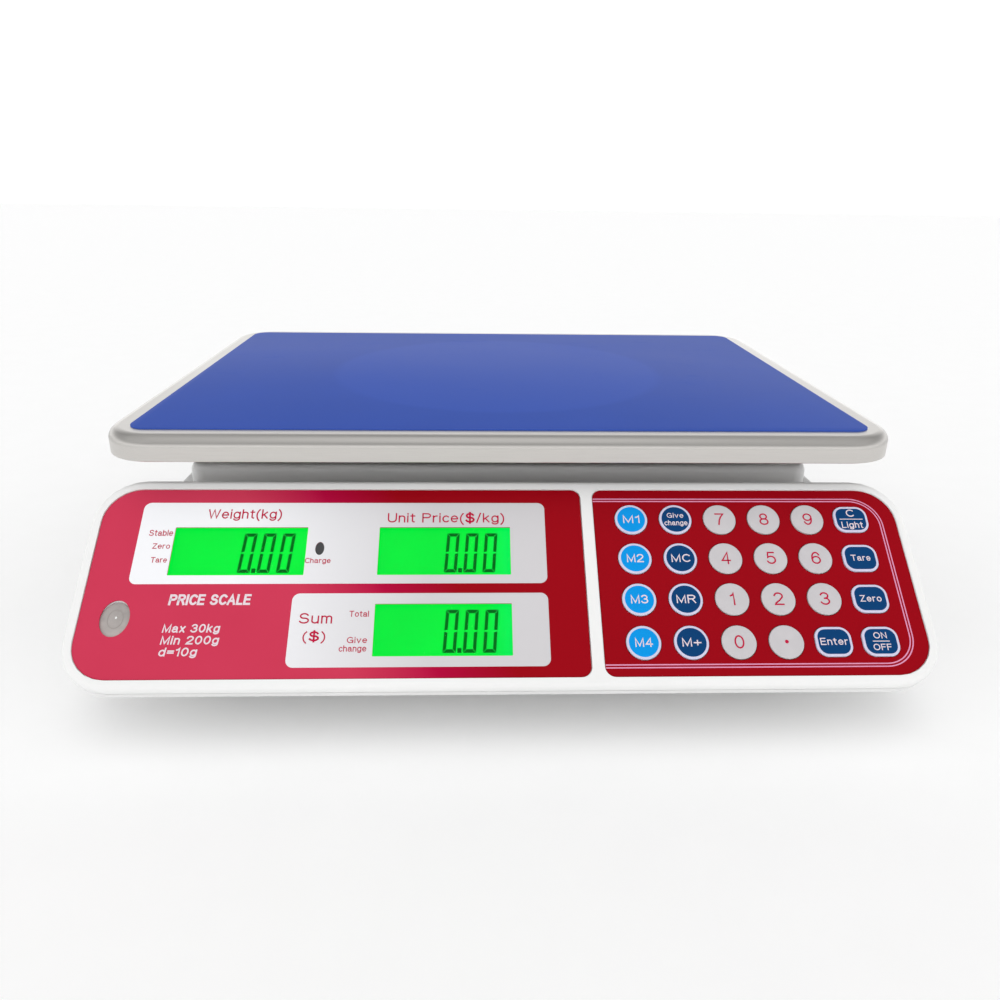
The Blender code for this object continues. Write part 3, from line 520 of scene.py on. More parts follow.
def cast_metal():
    """Die-cast aluminium: a pebbled skin with darker hollows."""
    base = (0.55, 0.56, 0.57)
    sheet = Sheet("metal_cast", base, 0.48, 0.9)
    pits = sheet.noise(650, 4.0, 0.65)
    flow = sheet.noise(26, 4.0, 0.6)
    sheet.tint(sheet.mix(pits.ramp(0.35, 0.6) * (0.6 + flow * 0.5), shaded(base, 0.62), base))
    return sheet.rough(0.40 + pits * 0.18 + flow * 0.06).bump(pits, 0.10 * MM, 0.45)


def machined_metal():
    """Milled aluminium, with tool lines across the bar."""
    base = (0.66, 0.67, 0.69)
    sheet = Sheet("metal_milled", base, 0.30, 1.0)
    across, _y, _z = sheet.axes()
    line = (across * 5200.0 + sheet.noise(90, 2.0) * 5.0).sine() * 0.5 + 0.5
    grain = sheet.noise(300, 3.0, 0.6, (1.0, 12.0, 1.0))
    sheet.tint(sheet.mix(line * 0.35 + grain * 0.3, base, shaded(base, 0.84)))
    return sheet.rough(0.24 + grain * 0.12).bump(line, 0.006 * MM, 0.4)


def circuit_board():
    """Green solder mask over fine copper tracks."""
    base = (0.010, 0.095, 0.032)
    sheet = Sheet("board_green", base, 0.32, coat_weight=0.4, coat_roughness=0.15)
    across, along, _z = sheet.axes()
    weave = sheet.noise(260, 2.0)
    rows = ((along * 2100.0 + weave * 3.0).sine() * 0.5 + 0.5).ramp(0.62, 0.78)
    gaps = ((across * 160.0 + weave * 2.0).sine() * 0.5 + 0.5).ramp(0.2, 0.4)
    tracks = rows * gaps
    sheet.tint(sheet.mix(tracks, base, (0.035, 0.22, 0.075)))
    return sheet.rough(0.28 + weave * 0.10).bump(tracks, 0.03 * MM, 0.5)


def battery_case():
    base = (0.085, 0.090, 0.098)
    sheet = Sheet("battery_grey", base, 0.45)
    grain = sheet.noise(1100, 3.0)
    scuff = sheet.noise(48, 5.0, 0.7).ramp(0.58, 0.70)
    sheet.tint(sheet.mix(scuff * 0.4, base, shaded(base, 1.8)))
    return sheet.rough(0.38 + grain * 0.14 + scuff * 0.10).bump(grain, 0.05 * MM, 0.4)


def vial_liquid():
    """The spirit level's fluid behind its clear top: a soft warm grey, with painted shade darker towards the
    back of its well.
    """
    sheet = Sheet("level_fluid", (0.42, 0.38, 0.36), 0.25, specular_ior_level=0.4)
    _x, _y, height = sheet.axes()
    low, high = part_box("spirit_level")
    swirl = sheet.noise(170, 4.0, 0.6)
    # Painted shade: the upper, farther part of the well is darker.
    shade = height.ramp(high.z - 0.009, high.z) * 0.7 + swirl.ramp(0.4, 0.65) * 0.3
    sheet.tint(sheet.mix(shade, (0.47, 0.43, 0.41), (0.27, 0.25, 0.24)))
    return sheet.rough(0.16 + swirl * 0.15)


def floor_paper():
    base = tuple(bpy.context.scene.scale_stage.floor)
    sheet = Sheet("floor_pale", base, 0.85, specular_ior_level=0.1)
    fibre = sheet.noise(40, 3.0)
    return sheet.tint(sheet.mix(fibre.ramp(0.3, 0.7), base, shaded(base, 0.99)))


# Each finish: what builds its material, and the slot its pieces fill, if any.
FINISHES = {
    "housing": (housing_plastic, "housing"),
    "panel": (panel_print, "panel"),
    "panel_deep": (plain_panel_print, "panel"),
    "label": (label_print, "panel"),
    "print_red": (ink("print_red", "print_red"), None),
    "print_white": (ink("print_white", "print_white"), None),
    "print_black": (ink("print_black", (0.02, 0.02, 0.022)), None),
    "stripe": (ink("print_stripe", "stripe"), None),
    "backlight": (backlight(), "lcd"),
    "rear_backlight": (backlight("display_green_rear", 0.2), "lcd"),
    "segment": (ink("segment_dark", "segment"), "lcd"),
    "clear": (clear_window, "clear_plastic"),
    "steel": (satin_steel, "pan_steel"),
    "film": (pan_film, "pan_film"),
    "key_number": (key_plastic("key_silver", "number_key"), "number_key"),
    "key_function": (key_plastic("key_navy", "function_key"), "function_key"),
    "key_memory": (key_plastic("key_light_blue", "memory_key"), "memory_key"),
    "key_rim": (key_plastic("key_rim_white", "key_rim"), None),
    "rubber": (rubber, "rubber"),
    "black": (dark_plastic("plastic_black", (0.022, 0.022, 0.024), 0.42), "black_plastic"),
    "dark_grey": (dark_plastic("plastic_grey", (0.10, 0.10, 0.105), 0.5), "black_plastic"),
    "cast": (cast_metal, "cast_metal"),
    "milled": (machined_metal, "load_cell_metal"),
    "bolt": (bolt_metal("zinc_bolt", (0.60, 0.60, 0.60), 0.28), "fastener"),
    "brass": (bolt_metal("brass_contact", (0.72, 0.50, 0.20), 0.25), "fastener"),
    "board": (circuit_board, "circuit_board"),
    "battery": (battery_case, "battery_case"),
    "red_wire": (wire_coating("wire_red", (0.45, 0.01, 0.01)), None),
    "black_wire": (wire_coating("wire_black", (0.015, 0.015, 0.015)), None),
    "white_wire": (wire_coating("wire_white", (0.72, 0.72, 0.70)), None),
    "green_wire": (wire_coating("wire_green", (0.01, 0.22, 0.05)), None),
    "potting": (ink("potting_white", (0.75, 0.74, 0.70)), None),
    "fluid": (vial_liquid, "clear_plastic"),
    "level_mark": (ink("level_mark", (0.33, 0.30, 0.285)), None),
    # The bubble's pale spot is a painted glint.
    "bubble": (ink("level_bubble_glint", (0.80, 0.80, 0.79), 0.3), None),
    "floor": (floor_paper, None),
}
made_finishes = {}


def finish(name):
    """The material of this finish, built the first time it is asked for."""
    if name not in made_finishes:
        made_finishes[name] = FINISHES[name][0]().material
    return made_finishes[name]


# --- the stroke alphabet --------------------------------------------------------------------------------


def arc(x, y, across, up, start, end):
    """Points along an oval's arc, between two angles in degrees."""
    steps = max(4, round(abs(end - start) / 18))
    turns = [math.radians(start + (end - start) * step / steps) for step in range(steps + 1)]
    return [(x + across * math.cos(turn), y + up * math.sin(turn)) for turn in turns]


def oval(x, y, across, up):
    return arc(x, y, across, up, 90, 450)


STEM = [(0, 0), (0, 1)]
LOW_STEM = [(0, 0), (0, 0.72)]
BOWL = oval(0.25, 0.36, 0.25, 0.36)
R_BOWL = [(0, 0), (0, 1), (0.36, 1), *arc(0.36, 0.755, 0.25, 0.245, 75, -90), (0, 0.51)]
S_CURVE = arc(0.31, 0.75, 0.27, 0.25, 20, 250) + arc(0.31, 0.26, 0.31, 0.26, 70, -160)
HUMP = arc(0.22, 0.48, 0.22, 0.24, 180, 0) + [(0.44, 0)]
# Each letter's strokes, by the middle of the pen, where 1 is a capital's height.
GLYPHS = {
    "0": (oval(0.28, 0.5, 0.28, 0.5),),
    "1": ([(0, 0.77), (0.14, 0.82), (0.24, 1), (0.24, 0)],),
    "2": ([*arc(0.27, 0.73, 0.27, 0.27, 170, -25), (0.30, 0.34), (0.06, 0.14), (0, 0), (0.55, 0)],),
    "3": (arc(0.27, 0.755, 0.25, 0.245, 160, -90), arc(0.27, 0.27, 0.29, 0.27, 80, -160)),
    "4": ([(0.42, 0), (0.42, 1), (0, 0.27), (0.58, 0.27)],),
    "5": ([(0.50, 1), (0.10, 1), *arc(0.27, 0.325, 0.29, 0.325, 140, -155)],),
    "6": (
        arc(0.30, 0.62, 0.24, 0.38, 25, 90) + arc(0.30, 0.45, 0.30, 0.55, 105, 180),
        oval(0.28, 0.31, 0.28, 0.31),
    ),
    "7": ([(0, 1), (0.56, 1), (0.36, 0.70), (0.24, 0.38), (0.18, 0)],),
    "8": (oval(0.28, 0.755, 0.235, 0.245), oval(0.28, 0.265, 0.28, 0.265)),
    "9": (
        oval(0.28, 0.69, 0.28, 0.31),
        arc(0.26, 0.38, 0.24, 0.38, 205, 270) + arc(0.26, 0.55, 0.30, 0.55, 285, 360),
    ),
    "A": ([(0, 0), (0.34, 1), (0.68, 0)], [(0.12, 0.34), (0.56, 0.34)]),
    "B": (
        [(0, 1), (0.32, 1), *arc(0.32, 0.765, 0.24, 0.235, 75, -90), (0, 0.53)],
        [(0.32, 0.53), *arc(0.34, 0.265, 0.27, 0.265, 75, -90), (0, 0), (0, 1)],
    ),
    "C": (arc(0.36, 0.5, 0.36, 0.5, 45, 315),),
    "D": ([(0, 0), (0, 1), (0.25, 1), *arc(0.25, 0.5, 0.38, 0.5, 75, -90), (0, 0)],),
    "E": ([(0.52, 1), (0, 1), (0, 0), (0.54, 0)], [(0, 0.52), (0.48, 0.52)]),
    "F": ([(0.50, 1), (0, 1), (0, 0)], [(0, 0.52), (0.44, 0.52)]),
    "G": (arc(0.37, 0.5, 0.37, 0.5, 45, 325), [(0.42, 0.46), (0.72, 0.46), (0.72, 0.04)]),
    "I": (STEM,),
    "L": ([(0, 1), (0, 0), (0.46, 0)],),
    "M": ([(0, 0), (0, 1), (0.36, 0.06), (0.72, 1), (0.72, 0)],),
    "N": ([(0, 0), (0, 1), (0.60, 0), (0.60, 1)],),
    "O": (oval(0.38, 0.5, 0.38, 0.5),),
    "P": (R_BOWL,),
    "R": (R_BOWL, [(0.36, 0.51), (0.62, 0)]),
    "S": (S_CURVE,),
    "T": ([(0, 1), (0.64, 1)], [(0.32, 1), (0.32, 0)]),
    "U": ([(0, 1), *arc(0.32, 0.33, 0.32, 0.33, 180, 360), (0.64, 1)],),
    "V": ([(0, 1), (0.32, 0), (0.64, 1)],),
    "W": ([(0, 1), (0.24, 0), (0.47, 1), (0.70, 0), (0.94, 1)],),
    "Y": ([(0, 1), (0.31, 0.45), (0.62, 1)], [(0.31, 0.45), (0.31, 0)]),
    "Z": ([(0.02, 1), (0.56, 1), (0, 0), (0.58, 0)],),
    "a": (
        arc(0.24, 0.50, 0.21, 0.22, 165, 0) + [(0.45, 0.10), (0.52, 0)],
        [(0.45, 0.43), (0.30, 0.40), *arc(0.20, 0.20, 0.20, 0.20, 90, 270), (0.33, 0.03), (0.45, 0.18)],
    ),
    "b": (STEM, BOWL),
    "c": (arc(0.25, 0.36, 0.25, 0.36, 45, 315),),
    "d": (BOWL, [(0.50, 0), (0.50, 1)]),
    "e": ([(0.01, 0.37), (0.51, 0.37), *arc(0.26, 0.36, 0.25, 0.36, 18, 315)],),
    "g": (BOWL, [(0.50, 0.72), *arc(0.25, -0.02, 0.25, 0.24, 0, -155)]),
    "h": (STEM, HUMP),
    "i": (LOW_STEM, [(0, 0.96), (0, 1)]),
    "k": (STEM, [(0.40, 0.72), (0, 0.28)], [(0.14, 0.44), (0.44, 0)]),
    "l": (STEM,),
    "m": (
        LOW_STEM,
        arc(0.17, 0.52, 0.17, 0.20, 180, 0) + [(0.34, 0)],
        arc(0.51, 0.52, 0.17, 0.20, 180, 0) + [(0.68, 0)],
    ),
    "n": (LOW_STEM, HUMP),
    "o": (BOWL,),
    "r": (LOW_STEM, arc(0.24, 0.44, 0.24, 0.28, 180, 80)),
    "t": ([(0.13, 0.94), *arc(0.27, 0.14, 0.14, 0.14, 180, 270)], [(0, 0.72), (0.30, 0.72)]),
    "u": ([(0, 0.72), *arc(0.22, 0.24, 0.22, 0.24, 180, 360)], [(0.44, 0.72), (0.44, 0)]),
    "v": ([(0, 0.72), (0.24, 0), (0.48, 0.72)],),
    "x": ([(0, 0.72), (0.42, 0)], [(0.42, 0.72), (0, 0)]),
    "(": (arc(0.5, 0.36, 0.5, 0.80, 125, 235),),
    ")": (arc(-0.287, 0.36, 0.5, 0.80, 55, -55),),
    "$": (S_CURVE, [(0.31, 1.12), (0.31, -0.12)]),
    "/": ([(0, -0.05), (0.30, 1.05)],),
    "=": ([(0, 0.36), (0.50, 0.36)], [(0, 0.62), (0.50, 0.62)]),
    "+": ([(0, 0.42), (0.56, 0.42)], [(0.28, 0.14), (0.28, 0.70)]),
}


# --- shapes ---------------------------------------------------------------------------------------------


def smooth(mesh, angle=35):
    mesh.shade_smooth()
    mesh.set_sharp_from_angle(angle=math.radians(angle))


def add_object(name, data):
    made = bpy.data.objects.new(name, data)
    bpy.context.scene.collection.objects.link(made)
    return made


def piece(name, shape, body, *finishes, replaces=(), angle=35):
    """A finished piece: it rides on its body, and may stand for nodes of the model."""
    mesh = shape if isinstance(shape, bpy.types.Mesh) else to_mesh(name, shape)
    for each in finishes:
        mesh.materials.append(finish(each))
    smooth(mesh, angle)
    made = add_object(name, mesh)
    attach(made, body)
    if replaces:
        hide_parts(*replaces)
    return made


def even_shading(made):
    made.modifiers.new("even_shading", "WEIGHTED_NORMAL").keep_sharp = True


def to_mesh(name, shape, plane=None):
    mesh = bpy.data.meshes.new(name)
    shape.to_mesh(mesh)
    shape.free()
    if plane is not None:
        mesh.transform(plane)
    return mesh


def tidy(shape):
    bmesh.ops.remove_doubles(shape, verts=shape.verts, dist=TINY)
    bmesh.ops.recalc_face_normals(shape, faces=shape.faces)


def bevel(shape, edges, width, steps):
    bmesh.ops.bevel(
        shape,
        geom=edges,
        offset=width,
        offset_type="OFFSET",
        segments=steps,
        profile=0.5,
        affect="EDGES",
        material=-1,
    )


def draw_out(shape, faces, rise):
    """Draws faces out along Z, and gives the ones at the far end."""
    made = bmesh.ops.extrude_face_region(shape, geom=faces)["geom"]
    moved = [g for g in made if isinstance(g, bmesh.types.BMVert)]
    bmesh.ops.translate(shape, verts=moved, vec=(0, 0, rise))
    return [g for g in made if isinstance(g, bmesh.types.BMFace)]


def add_box(shape, low, high):
    low, high = Vector(low), Vector(high)
    place = Matrix.LocRotScale((low + high) / 2, None, high - low)
    bmesh.ops.create_cube(shape, size=1.0, matrix=place)


def add_rod(shape, matrix, radius, low, high, steps=24, tip=None):
    """A cylinder or cone along the matrix's Z axis."""
    middle = Matrix.Translation((0, 0, (low + high) / 2))
    bmesh.ops.create_cone(
        shape,
        cap_ends=True,
        segments=steps,
        radius1=radius,
        radius2=radius if tip is None else tip,
        depth=high - low,
        matrix=matrix @ middle,
    )


def edges_at(shape, height):
    """The outline edges of the flat faces at this height."""
    flat = {f for f in shape.faces if all(abs(v.co.z - height) < TINY for v in f.verts)}
    return [e for e in shape.edges if sum(f in flat for f in e.link_faces) == 1]


def rounded_box(low, high, corner, rim=0.0, steps=ARC_STEPS, rim_steps=4):
    """A slab with rounded upright corners and a rounded upper rim."""
    shape = bmesh.new()
    add_box(shape, low, high)
    upright = [e for e in shape.edges if abs(e.verts[0].co.z - e.verts[1].co.z) > (high[2] - low[2]) / 2]
    bevel(shape, upright, corner, steps)
    if rim > 0:
        bevel(shape, edges_at(shape, high[2]), rim, rim_steps)
    return shape


def turned(profile, steps=48, matrix=None):
    """A solid of revolution about Z from (radius, height) points that start and end on the axis."""
    shape = bmesh.new()
    points = [shape.verts.new((radius, 0, height)) for radius, height in profile]
    edges = [shape.edges.new(pair) for pair in zip(points, points[1:])]
    bmesh.ops.spin(
        shape,
        geom=points + edges,
        cent=(0, 0, 0),
        axis=(0, 0, 1),
        angle=math.tau,
        steps=steps,
        use_merge=True,
        use_duplicate=False,
    )
    tidy(shape)
    if matrix is not None:
        bmesh.ops.transform(shape, matrix=matrix, verts=shape.verts)
    return shape


def rounded_outline(low, high, radii, steps=ARC_STEPS):
    """Points round a rectangle with arc corners, anticlockwise from the (-x, -y) corner."""
    if not isinstance(radii, tuple):
        radii = (radii,) * 4
    corners = ((low[0], low[1], 180), (high[0], low[1], 270), (high[0], high[1], 0), (low[0], high[1], 90))
    points = []
    for (x, y, start), radius in zip(corners, radii):
        centre_x = x + radius if x == low[0] else x - radius
        centre_y = y + radius if y == low[1] else y - radius
        for step in range(steps + 1):
            angle = math.radians(start + 90 * step / steps)
            points.append((centre_x + radius * math.cos(angle), centre_y + radius * math.sin(angle)))
    return points


def oval_outline(centre, half_width, half_height, steps=48):
    turns = [math.tau * step / steps for step in range(steps)]
    return [(centre[0] + half_width * math.cos(t), centre[1] + half_height * math.sin(t)) for t in turns]


def evaluated_mesh(name, curve):
    """The mesh that a curve makes; the curve is removed."""
    thing = add_object(name, curve)
    bpy.context.view_layer.update()
    graph = bpy.context.evaluated_depsgraph_get()
    mesh = bpy.data.meshes.new_from_object(thing.evaluated_get(graph))
    bpy.data.objects.remove(thing)
    bpy.data.curves.remove(curve)
    shape = bmesh.new()
    shape.from_mesh(mesh)
    bmesh.ops.remove_doubles(shape, verts=shape.verts, dist=TINY)
    shape.to_mesh(mesh)
    shape.free()
    return mesh


def sheet_mesh(name, outlines, low, high, plane):
    """A flat sheet between two heights; outlines inside the first are holes in it."""
    curve = bpy.data.curves.new(name, "CURVE")
    curve.dimensions = "2D"
    curve.fill_mode = "BOTH"
    curve.extrude = (high - low) / 2
    for outline in outlines:
        spline = curve.splines.new("POLY")
        spline.points.add(len(outline) - 1)
        for point, (x, y) in zip(spline.points, outline):
            point.co = (x, y, 0, 1)
        spline.use_cyclic_u = True
    mesh = evaluated_mesh(name, curve)
    mesh.transform(plane @ Matrix.Translation((0, 0, (low + high) / 2)))
    return mesh


def print_flat(name, outlines, surface, plane, look):
    """A flat print on the case; outlines inside the first are left clear."""
    piece(name, sheet_mesh(name, outlines, surface, surface + INK, plane), "case", look)


def ribbon_sides(points, width):
    """Both edges of a ribbon along these points, with mitred joints and square ends."""
    course = [Vector(point) for point in points]
    closed = (course[0] - course[-1]).length < width / 100
    ways = [(after - before).normalized() for before, after in zip(course, course[1:])]
    arriving = [ways[-1] if closed else ways[0]] + ways
    leaving = ways + [ways[0] if closed else ways[-1]]
    if not closed:
        course[0] -= ways[0] * width / 2
        course[-1] += ways[-1] * width / 2
    sides = []
    for here, before, after in zip(course, arriving, leaving):
        along = (before + after).normalized()
        reach = Vector((-along.y, along.x)) * width / 2 / max(0.5, along.dot(after))
        sides.append((here + reach, here - reach))
    return sides


def add_ribbon(shape, points, width, low, high):
    """A thin solid ribbon along the points, drawn out one step at a time."""
    sides = ribbon_sides(points, width)
    left, right = (shape.verts.new((*side, low)) for side in sides[0])
    edge, faces = shape.edges.new((left, right)), []
    for left_side, right_side in sides[1:]:
        made = bmesh.ops.extrude_edge_only(shape, edges=[edge])["geom"]
        faces += [g for g in made if isinstance(g, bmesh.types.BMFace)]
        ends = [g for g in made if isinstance(g, bmesh.types.BMVert)]
        ends.sort(key=lambda v: (v.co - left.co).length)
        left, right = ends
        left.co, right.co = (*left_side, low), (*right_side, low)
        edge = next(e for e in left.link_edges if e.other_vert(left) == right)
    own = list({v for f in faces for v in f.verts})
    bmesh.ops.remove_doubles(shape, verts=own, dist=width / 1000)
    draw_out(shape, [f for f in faces if f.is_valid], high - low)


def lettering_mesh(words, height, width=None, weight=0.125, slope=0.0):
    """Raised words, centred on the origin: height is a capital's, and width the whole line's."""
    stroke = height * weight
    gap, lines, pen = 0.13 + weight, [], 0.0
    for letter in words:
        strokes = GLYPHS.get(letter, ())
        lines += [(letter, [(pen + x, y) for x, y in points]) for points in strokes]
        pen += gap + max((x for points in strokes for x, _y in points), default=0.18)
    span, rise = pen - gap, height - stroke
    run = rise if width is None else (width - stroke) / max(span, 0.01)
    shape = bmesh.new()
    for layer, (letter, points) in enumerate(lines):
        placed = [((x - span / 2 + slope * (y - 0.5)) * run, (y - 0.5) * rise) for x, y in points]
        top = INK / 2 - (layer % 3) * INK / 20
        add_ribbon(shape, placed, stroke * (1.5 if letter == "$" else 1.0), -INK / 2, top)
    bmesh.ops.recalc_face_normals(shape, faces=shape.faces)
    return to_mesh("words", shape)


def lettering(name, words, centre, height, look, plane, surface, width=None, weight=0.125, slope=0.0):
    """Words printed on a flat surface of the case; the surface is measured out of the plane."""
    mesh = lettering_mesh(words, height, width, weight, slope)
    mesh.transform(plane @ Matrix.Translation((*centre, surface + LIFT + INK / 2)))
    piece(name, mesh, "case", look)


def wire_piece(name, route, radius, body, look):
    """A round wire through given points, on a smooth curve."""
    curve = bpy.data.curves.new(name, "CURVE")
    curve.dimensions = "3D"
    curve.bevel_depth = radius
    curve.bevel_resolution = 2
    curve.resolution_u = 8
    curve.use_fill_caps = True
    spline = curve.splines.new("BEZIER")
    spline.bezier_points.add(len(route) - 1)
    for point, place in zip(spline.bezier_points, route):
        point.co = place
        point.handle_left_type = point.handle_right_type = "AUTO"
    piece(name, evaluated_mesh(name, curve), body, look)


def smooth_copy(node, name, body, look, angle=35, edge=0.0):
    """A node's own shape, with its triangles joined to shade smoothly, and its sharp edges softened."""
    shape = bmesh.new()
    shape.from_mesh(NODES[node].data)
    bmesh.ops.remove_doubles(shape, verts=shape.verts, dist=0.000002)
    bmesh.ops.dissolve_limit(
        shape, angle_limit=math.radians(0.5), verts=shape.verts, edges=shape.edges, delimit={"NORMAL"}
    )
    if edge > 0:
        sharp = [e for e in shape.edges if e.is_manifold and e.calc_face_angle() > math.radians(50)]
        bevel(shape, sharp, edge, 2)
    made = piece(name, to_mesh(name, shape), body, look, replaces=(node,), angle=angle)
    even_shading(made)


# --- housing and base -----------------------------------------------------------------------------------


def cross_head(shape, centre, top, radius):
    """A pan-head screw whose head faces down."""
    turn = Matrix.Translation((*centre, top)) @ Matrix.Diagonal((1, 1, -1, 1))
    depth = radius * 0.55
    profile = [(0, depth * 0.35), (radius * 0.35, depth * 0.30), (radius * 0.72, 0), (radius, -depth * 0.55)]
    profile += [(radius, -depth), (0, -depth)]
    mesh = to_mesh("head", turned(profile, 28, turn))
    shape.from_mesh(mesh)
    bpy.data.meshes.remove(mesh)


def cross_slots(shape, centre, top, radius):
    """Two dark bars of painted shade that stand for the recess of a cross-head screw."""
    reach, half, rise = radius * 0.62, radius * 0.12, radius * 0.215
    x, y = centre
    low, high = top - rise, top - rise + 0.2 * MM
    add_box(shape, (x - reach, y - half, low), (x + reach, y + half, high))
    add_box(shape, (x - half, y - reach, low - 0.01 * MM), (x + half, y + reach, high + 0.01 * MM))


# Each screw's place, and the height of the seat its head is drawn up to.
SHELL_SCREWS = (
    (-0.120, -0.152, 0.0219),
    (0.120, -0.152, 0.0219),
    (-0.124, 0.075, 0.0200),
    (0.124, 0.075, 0.0200),
)
SCREW_HEAD_DEPTH = 1.9 * MM
SCREW_HEAD_RADIUS = 3.4 * MM


def housing_pieces():
    smooth_copy("top_cover", "cover", "case", "housing", 40)
    smooth_copy("bottom_shell", "tub", "case", "housing", 40)
    smooth_copy("battery_door", "bay_door", "battery_door", "housing", 40)


def shell_screws():
    heads, slot_shades = bmesh.new(), bmesh.new()
    for x, y, seat in SHELL_SCREWS:
        cross_head(heads, (x, y), seat - SCREW_HEAD_DEPTH, SCREW_HEAD_RADIUS)
        # Painted shade in each screw's cross recess.
        cross_slots(slot_shades, (x, y), seat - SCREW_HEAD_DEPTH, SCREW_HEAD_RADIUS)
    piece("shell_screws", heads, "case", "bolt")
    piece("shell_screw_slot_shade", slot_shades, "case", "print_black")


PLATE = (0.022, -0.052), (0.092, -0.012)
PLATE_RULES, RULE_PITCH = 5, 6.8 * MM
GRIP_RIBS, RIB_PITCH = 6, 3.0 * MM


def underside_details():
    """A blank rating plate, its ruled lines, and grip ribs moulded on the battery door."""
    low, _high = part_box("bottom_shell")
    down = Matrix.Translation((0, 0, low.z)) @ Matrix.Rotation(math.pi, 4, "X")
    mesh = sheet_mesh("rating_plate", [rounded_outline(*PLATE, 2.5 * MM)], 0.02 * MM, 0.12 * MM, down)
    piece("rating_plate", mesh, "case", "label")
    lines = bmesh.new()
    for row in range(PLATE_RULES):
        y = -0.018 - row * RULE_PITCH
        add_box(lines, (0.026, y - 0.0004, 0.15 * MM), (0.086 - 0.006 * (row % 2), y, 0.19 * MM))
    piece("rating_plate_rules", to_mesh("rating_plate_rules", lines, down), "case", "print_black")
    door_low, door_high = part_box("battery_door")
    centre_x = (door_low.x + door_high.x) / 2
    ribs = bmesh.new()
    for row in range(GRIP_RIBS):
        y = door_high.y - 0.010 - row * RIB_PITCH
        corner = (centre_x - 0.014, y - 0.0006, low.z - 0.45 * MM)
        add_box(ribs, corner, (centre_x + 0.014, y + 0.0006, low.z + 0.1 * MM))
    bevel(ribs, [e for e in ribs.edges if all(v.co.z < low.z for v in e.verts)], 0.2 * MM, 2)
    piece("door_grip_ribs", ribs, "battery_door", "housing")


def foot_details():
    """Turned rubber pads with a ringed sole, and thumbwheels with a knurled rim."""
    for corner in CORNERS:
        pad, screw = f"foot_pad_{corner}", f"foot_screw_{corner}"
        low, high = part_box(pad)
        place = Matrix.Translation(((low.x + high.x) / 2, (low.y + high.y) / 2, 0))
        radius, top = (high.x - low.x) / 2, high.z
        profile = [(0, 2.0 * MM), (3.5 * MM, 2.0 * MM), (3.5 * MM, top), (radius - 2.2 * MM, top)]
        profile += rim_arc(radius - 1.4 * MM, top - 1.4 * MM, 1.4 * MM, 90, 0, 5)
        profile += [(radius, 1.2 * MM), (radius - 0.7 * MM, 0.0)]
        for ring in range(3):
            out = radius - (2.6 + ring * 3.0) * MM
            profile += [(out, 0.0), (out - 0.4 * MM, 0.7 * MM)]
            profile += [(out - 1.2 * MM, 0.7 * MM), (out - 1.6 * MM, 0.0)]
        profile.append((0, 0.0))
        piece(f"sole_{corner}", turned(profile, 48, place), pad, "rubber", replaces=(pad,))
        foot_screw(corner, place, screw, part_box(screw)[1].z)


def rim_arc(centre_radius, centre_height, radius, start, end, steps):
    """Points of an arc in a turned profile, by angle from the outward direction."""
    angles = [math.radians(start + (end - start) * step / steps) for step in range(steps + 1)]
    return [(centre_radius + radius * math.cos(a), centre_height + radius * math.sin(a)) for a in angles]


THREAD_PITCH = 1.25 * MM
GRIPS = 30  # ribs round a thumbwheel


def foot_screw(corner, place, node, top):
    """A stud with raised thread rings, and a thumbwheel whose rim is gripped by ribs."""
    profile = [(0, top), (3.1 * MM, top), (3.9 * MM, top - 0.8 * MM)]
    height = top - 1.2 * MM
    while height > 10.6 * MM:
        profile += [(3.4 * MM, height), (4.0 * MM, height - 0.6 * MM)]
        height -= THREAD_PITCH
    profile += [(3.4 * MM, 9.7 * MM), (10.9 * MM, 9.7 * MM), (11.3 * MM, 9.3 * MM)]
    profile += [(11.3 * MM, 5.7 * MM), (10.9 * MM, 5.3 * MM), (3.2 * MM, 5.3 * MM)]
    profile += [(3.2 * MM, 2.4 * MM), (0, 2.4 * MM)]
    shape = turned(profile, 48, place)
    for turn in range(GRIPS):
        around = Matrix.Rotation(math.tau * turn / GRIPS, 4, "Z")
        spoke = place @ around @ Matrix.Translation((11.3 * MM, 0, 0))
        add_rod(shape, spoke, 0.6 * MM, 5.6 * MM, 9.4 * MM, 8)
    piece(f"thumbscrew_{corner}", shape, node, "black", replaces=(node,))


# --- pan and mechanism ----------------------------------------------------------------------------------


def pan_pieces():
    """The pressed tray, with a hemmed skirt, and the film laid in it."""
    low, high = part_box("weighing_pan")
    sheet, hem = 0.8 * MM, 1.5 * MM
    outer = rounded_box(low, high, 23 * MM, 5 * MM, steps=20, rim_steps=10)
    floor_face = max(
        (f for f in outer.faces if f.normal.z < -0.9 and abs(f.calc_center_median().z - low.z) < 0.0001),
        key=lambda f: f.calc_area(),
    )
    bevel(outer, list(floor_face.edges), 0.35 * MM, 2)
    floor_face = max((f for f in outer.faces if f.normal.z < -0.9), key=lambda f: f.calc_area())
    bmesh.ops.inset_region(outer, faces=[floor_face], thickness=hem - 0.35 * MM, use_even_offset=True)
    depth = (high.z - low.z) - sheet
    inner = draw_out(outer, [floor_face], depth)
    bmesh.ops.delete(outer, geom=[floor_face], context="FACES_ONLY")
    bevel(outer, [e for f in inner for e in f.edges], 3.2 * MM, 6)
    tidy(outer)
    even_shading(piece("tray", outer, "pan", "steel", replaces=("weighing_pan",), angle=50))
    face = high.z
    low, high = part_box("pan_film")
    film = rounded_box((low.x, low.y, face), high, 8 * MM, 0.25 * MM, steps=14, rim_steps=2)
    piece("film", film, "pan", "film", replaces=("pan_film",))


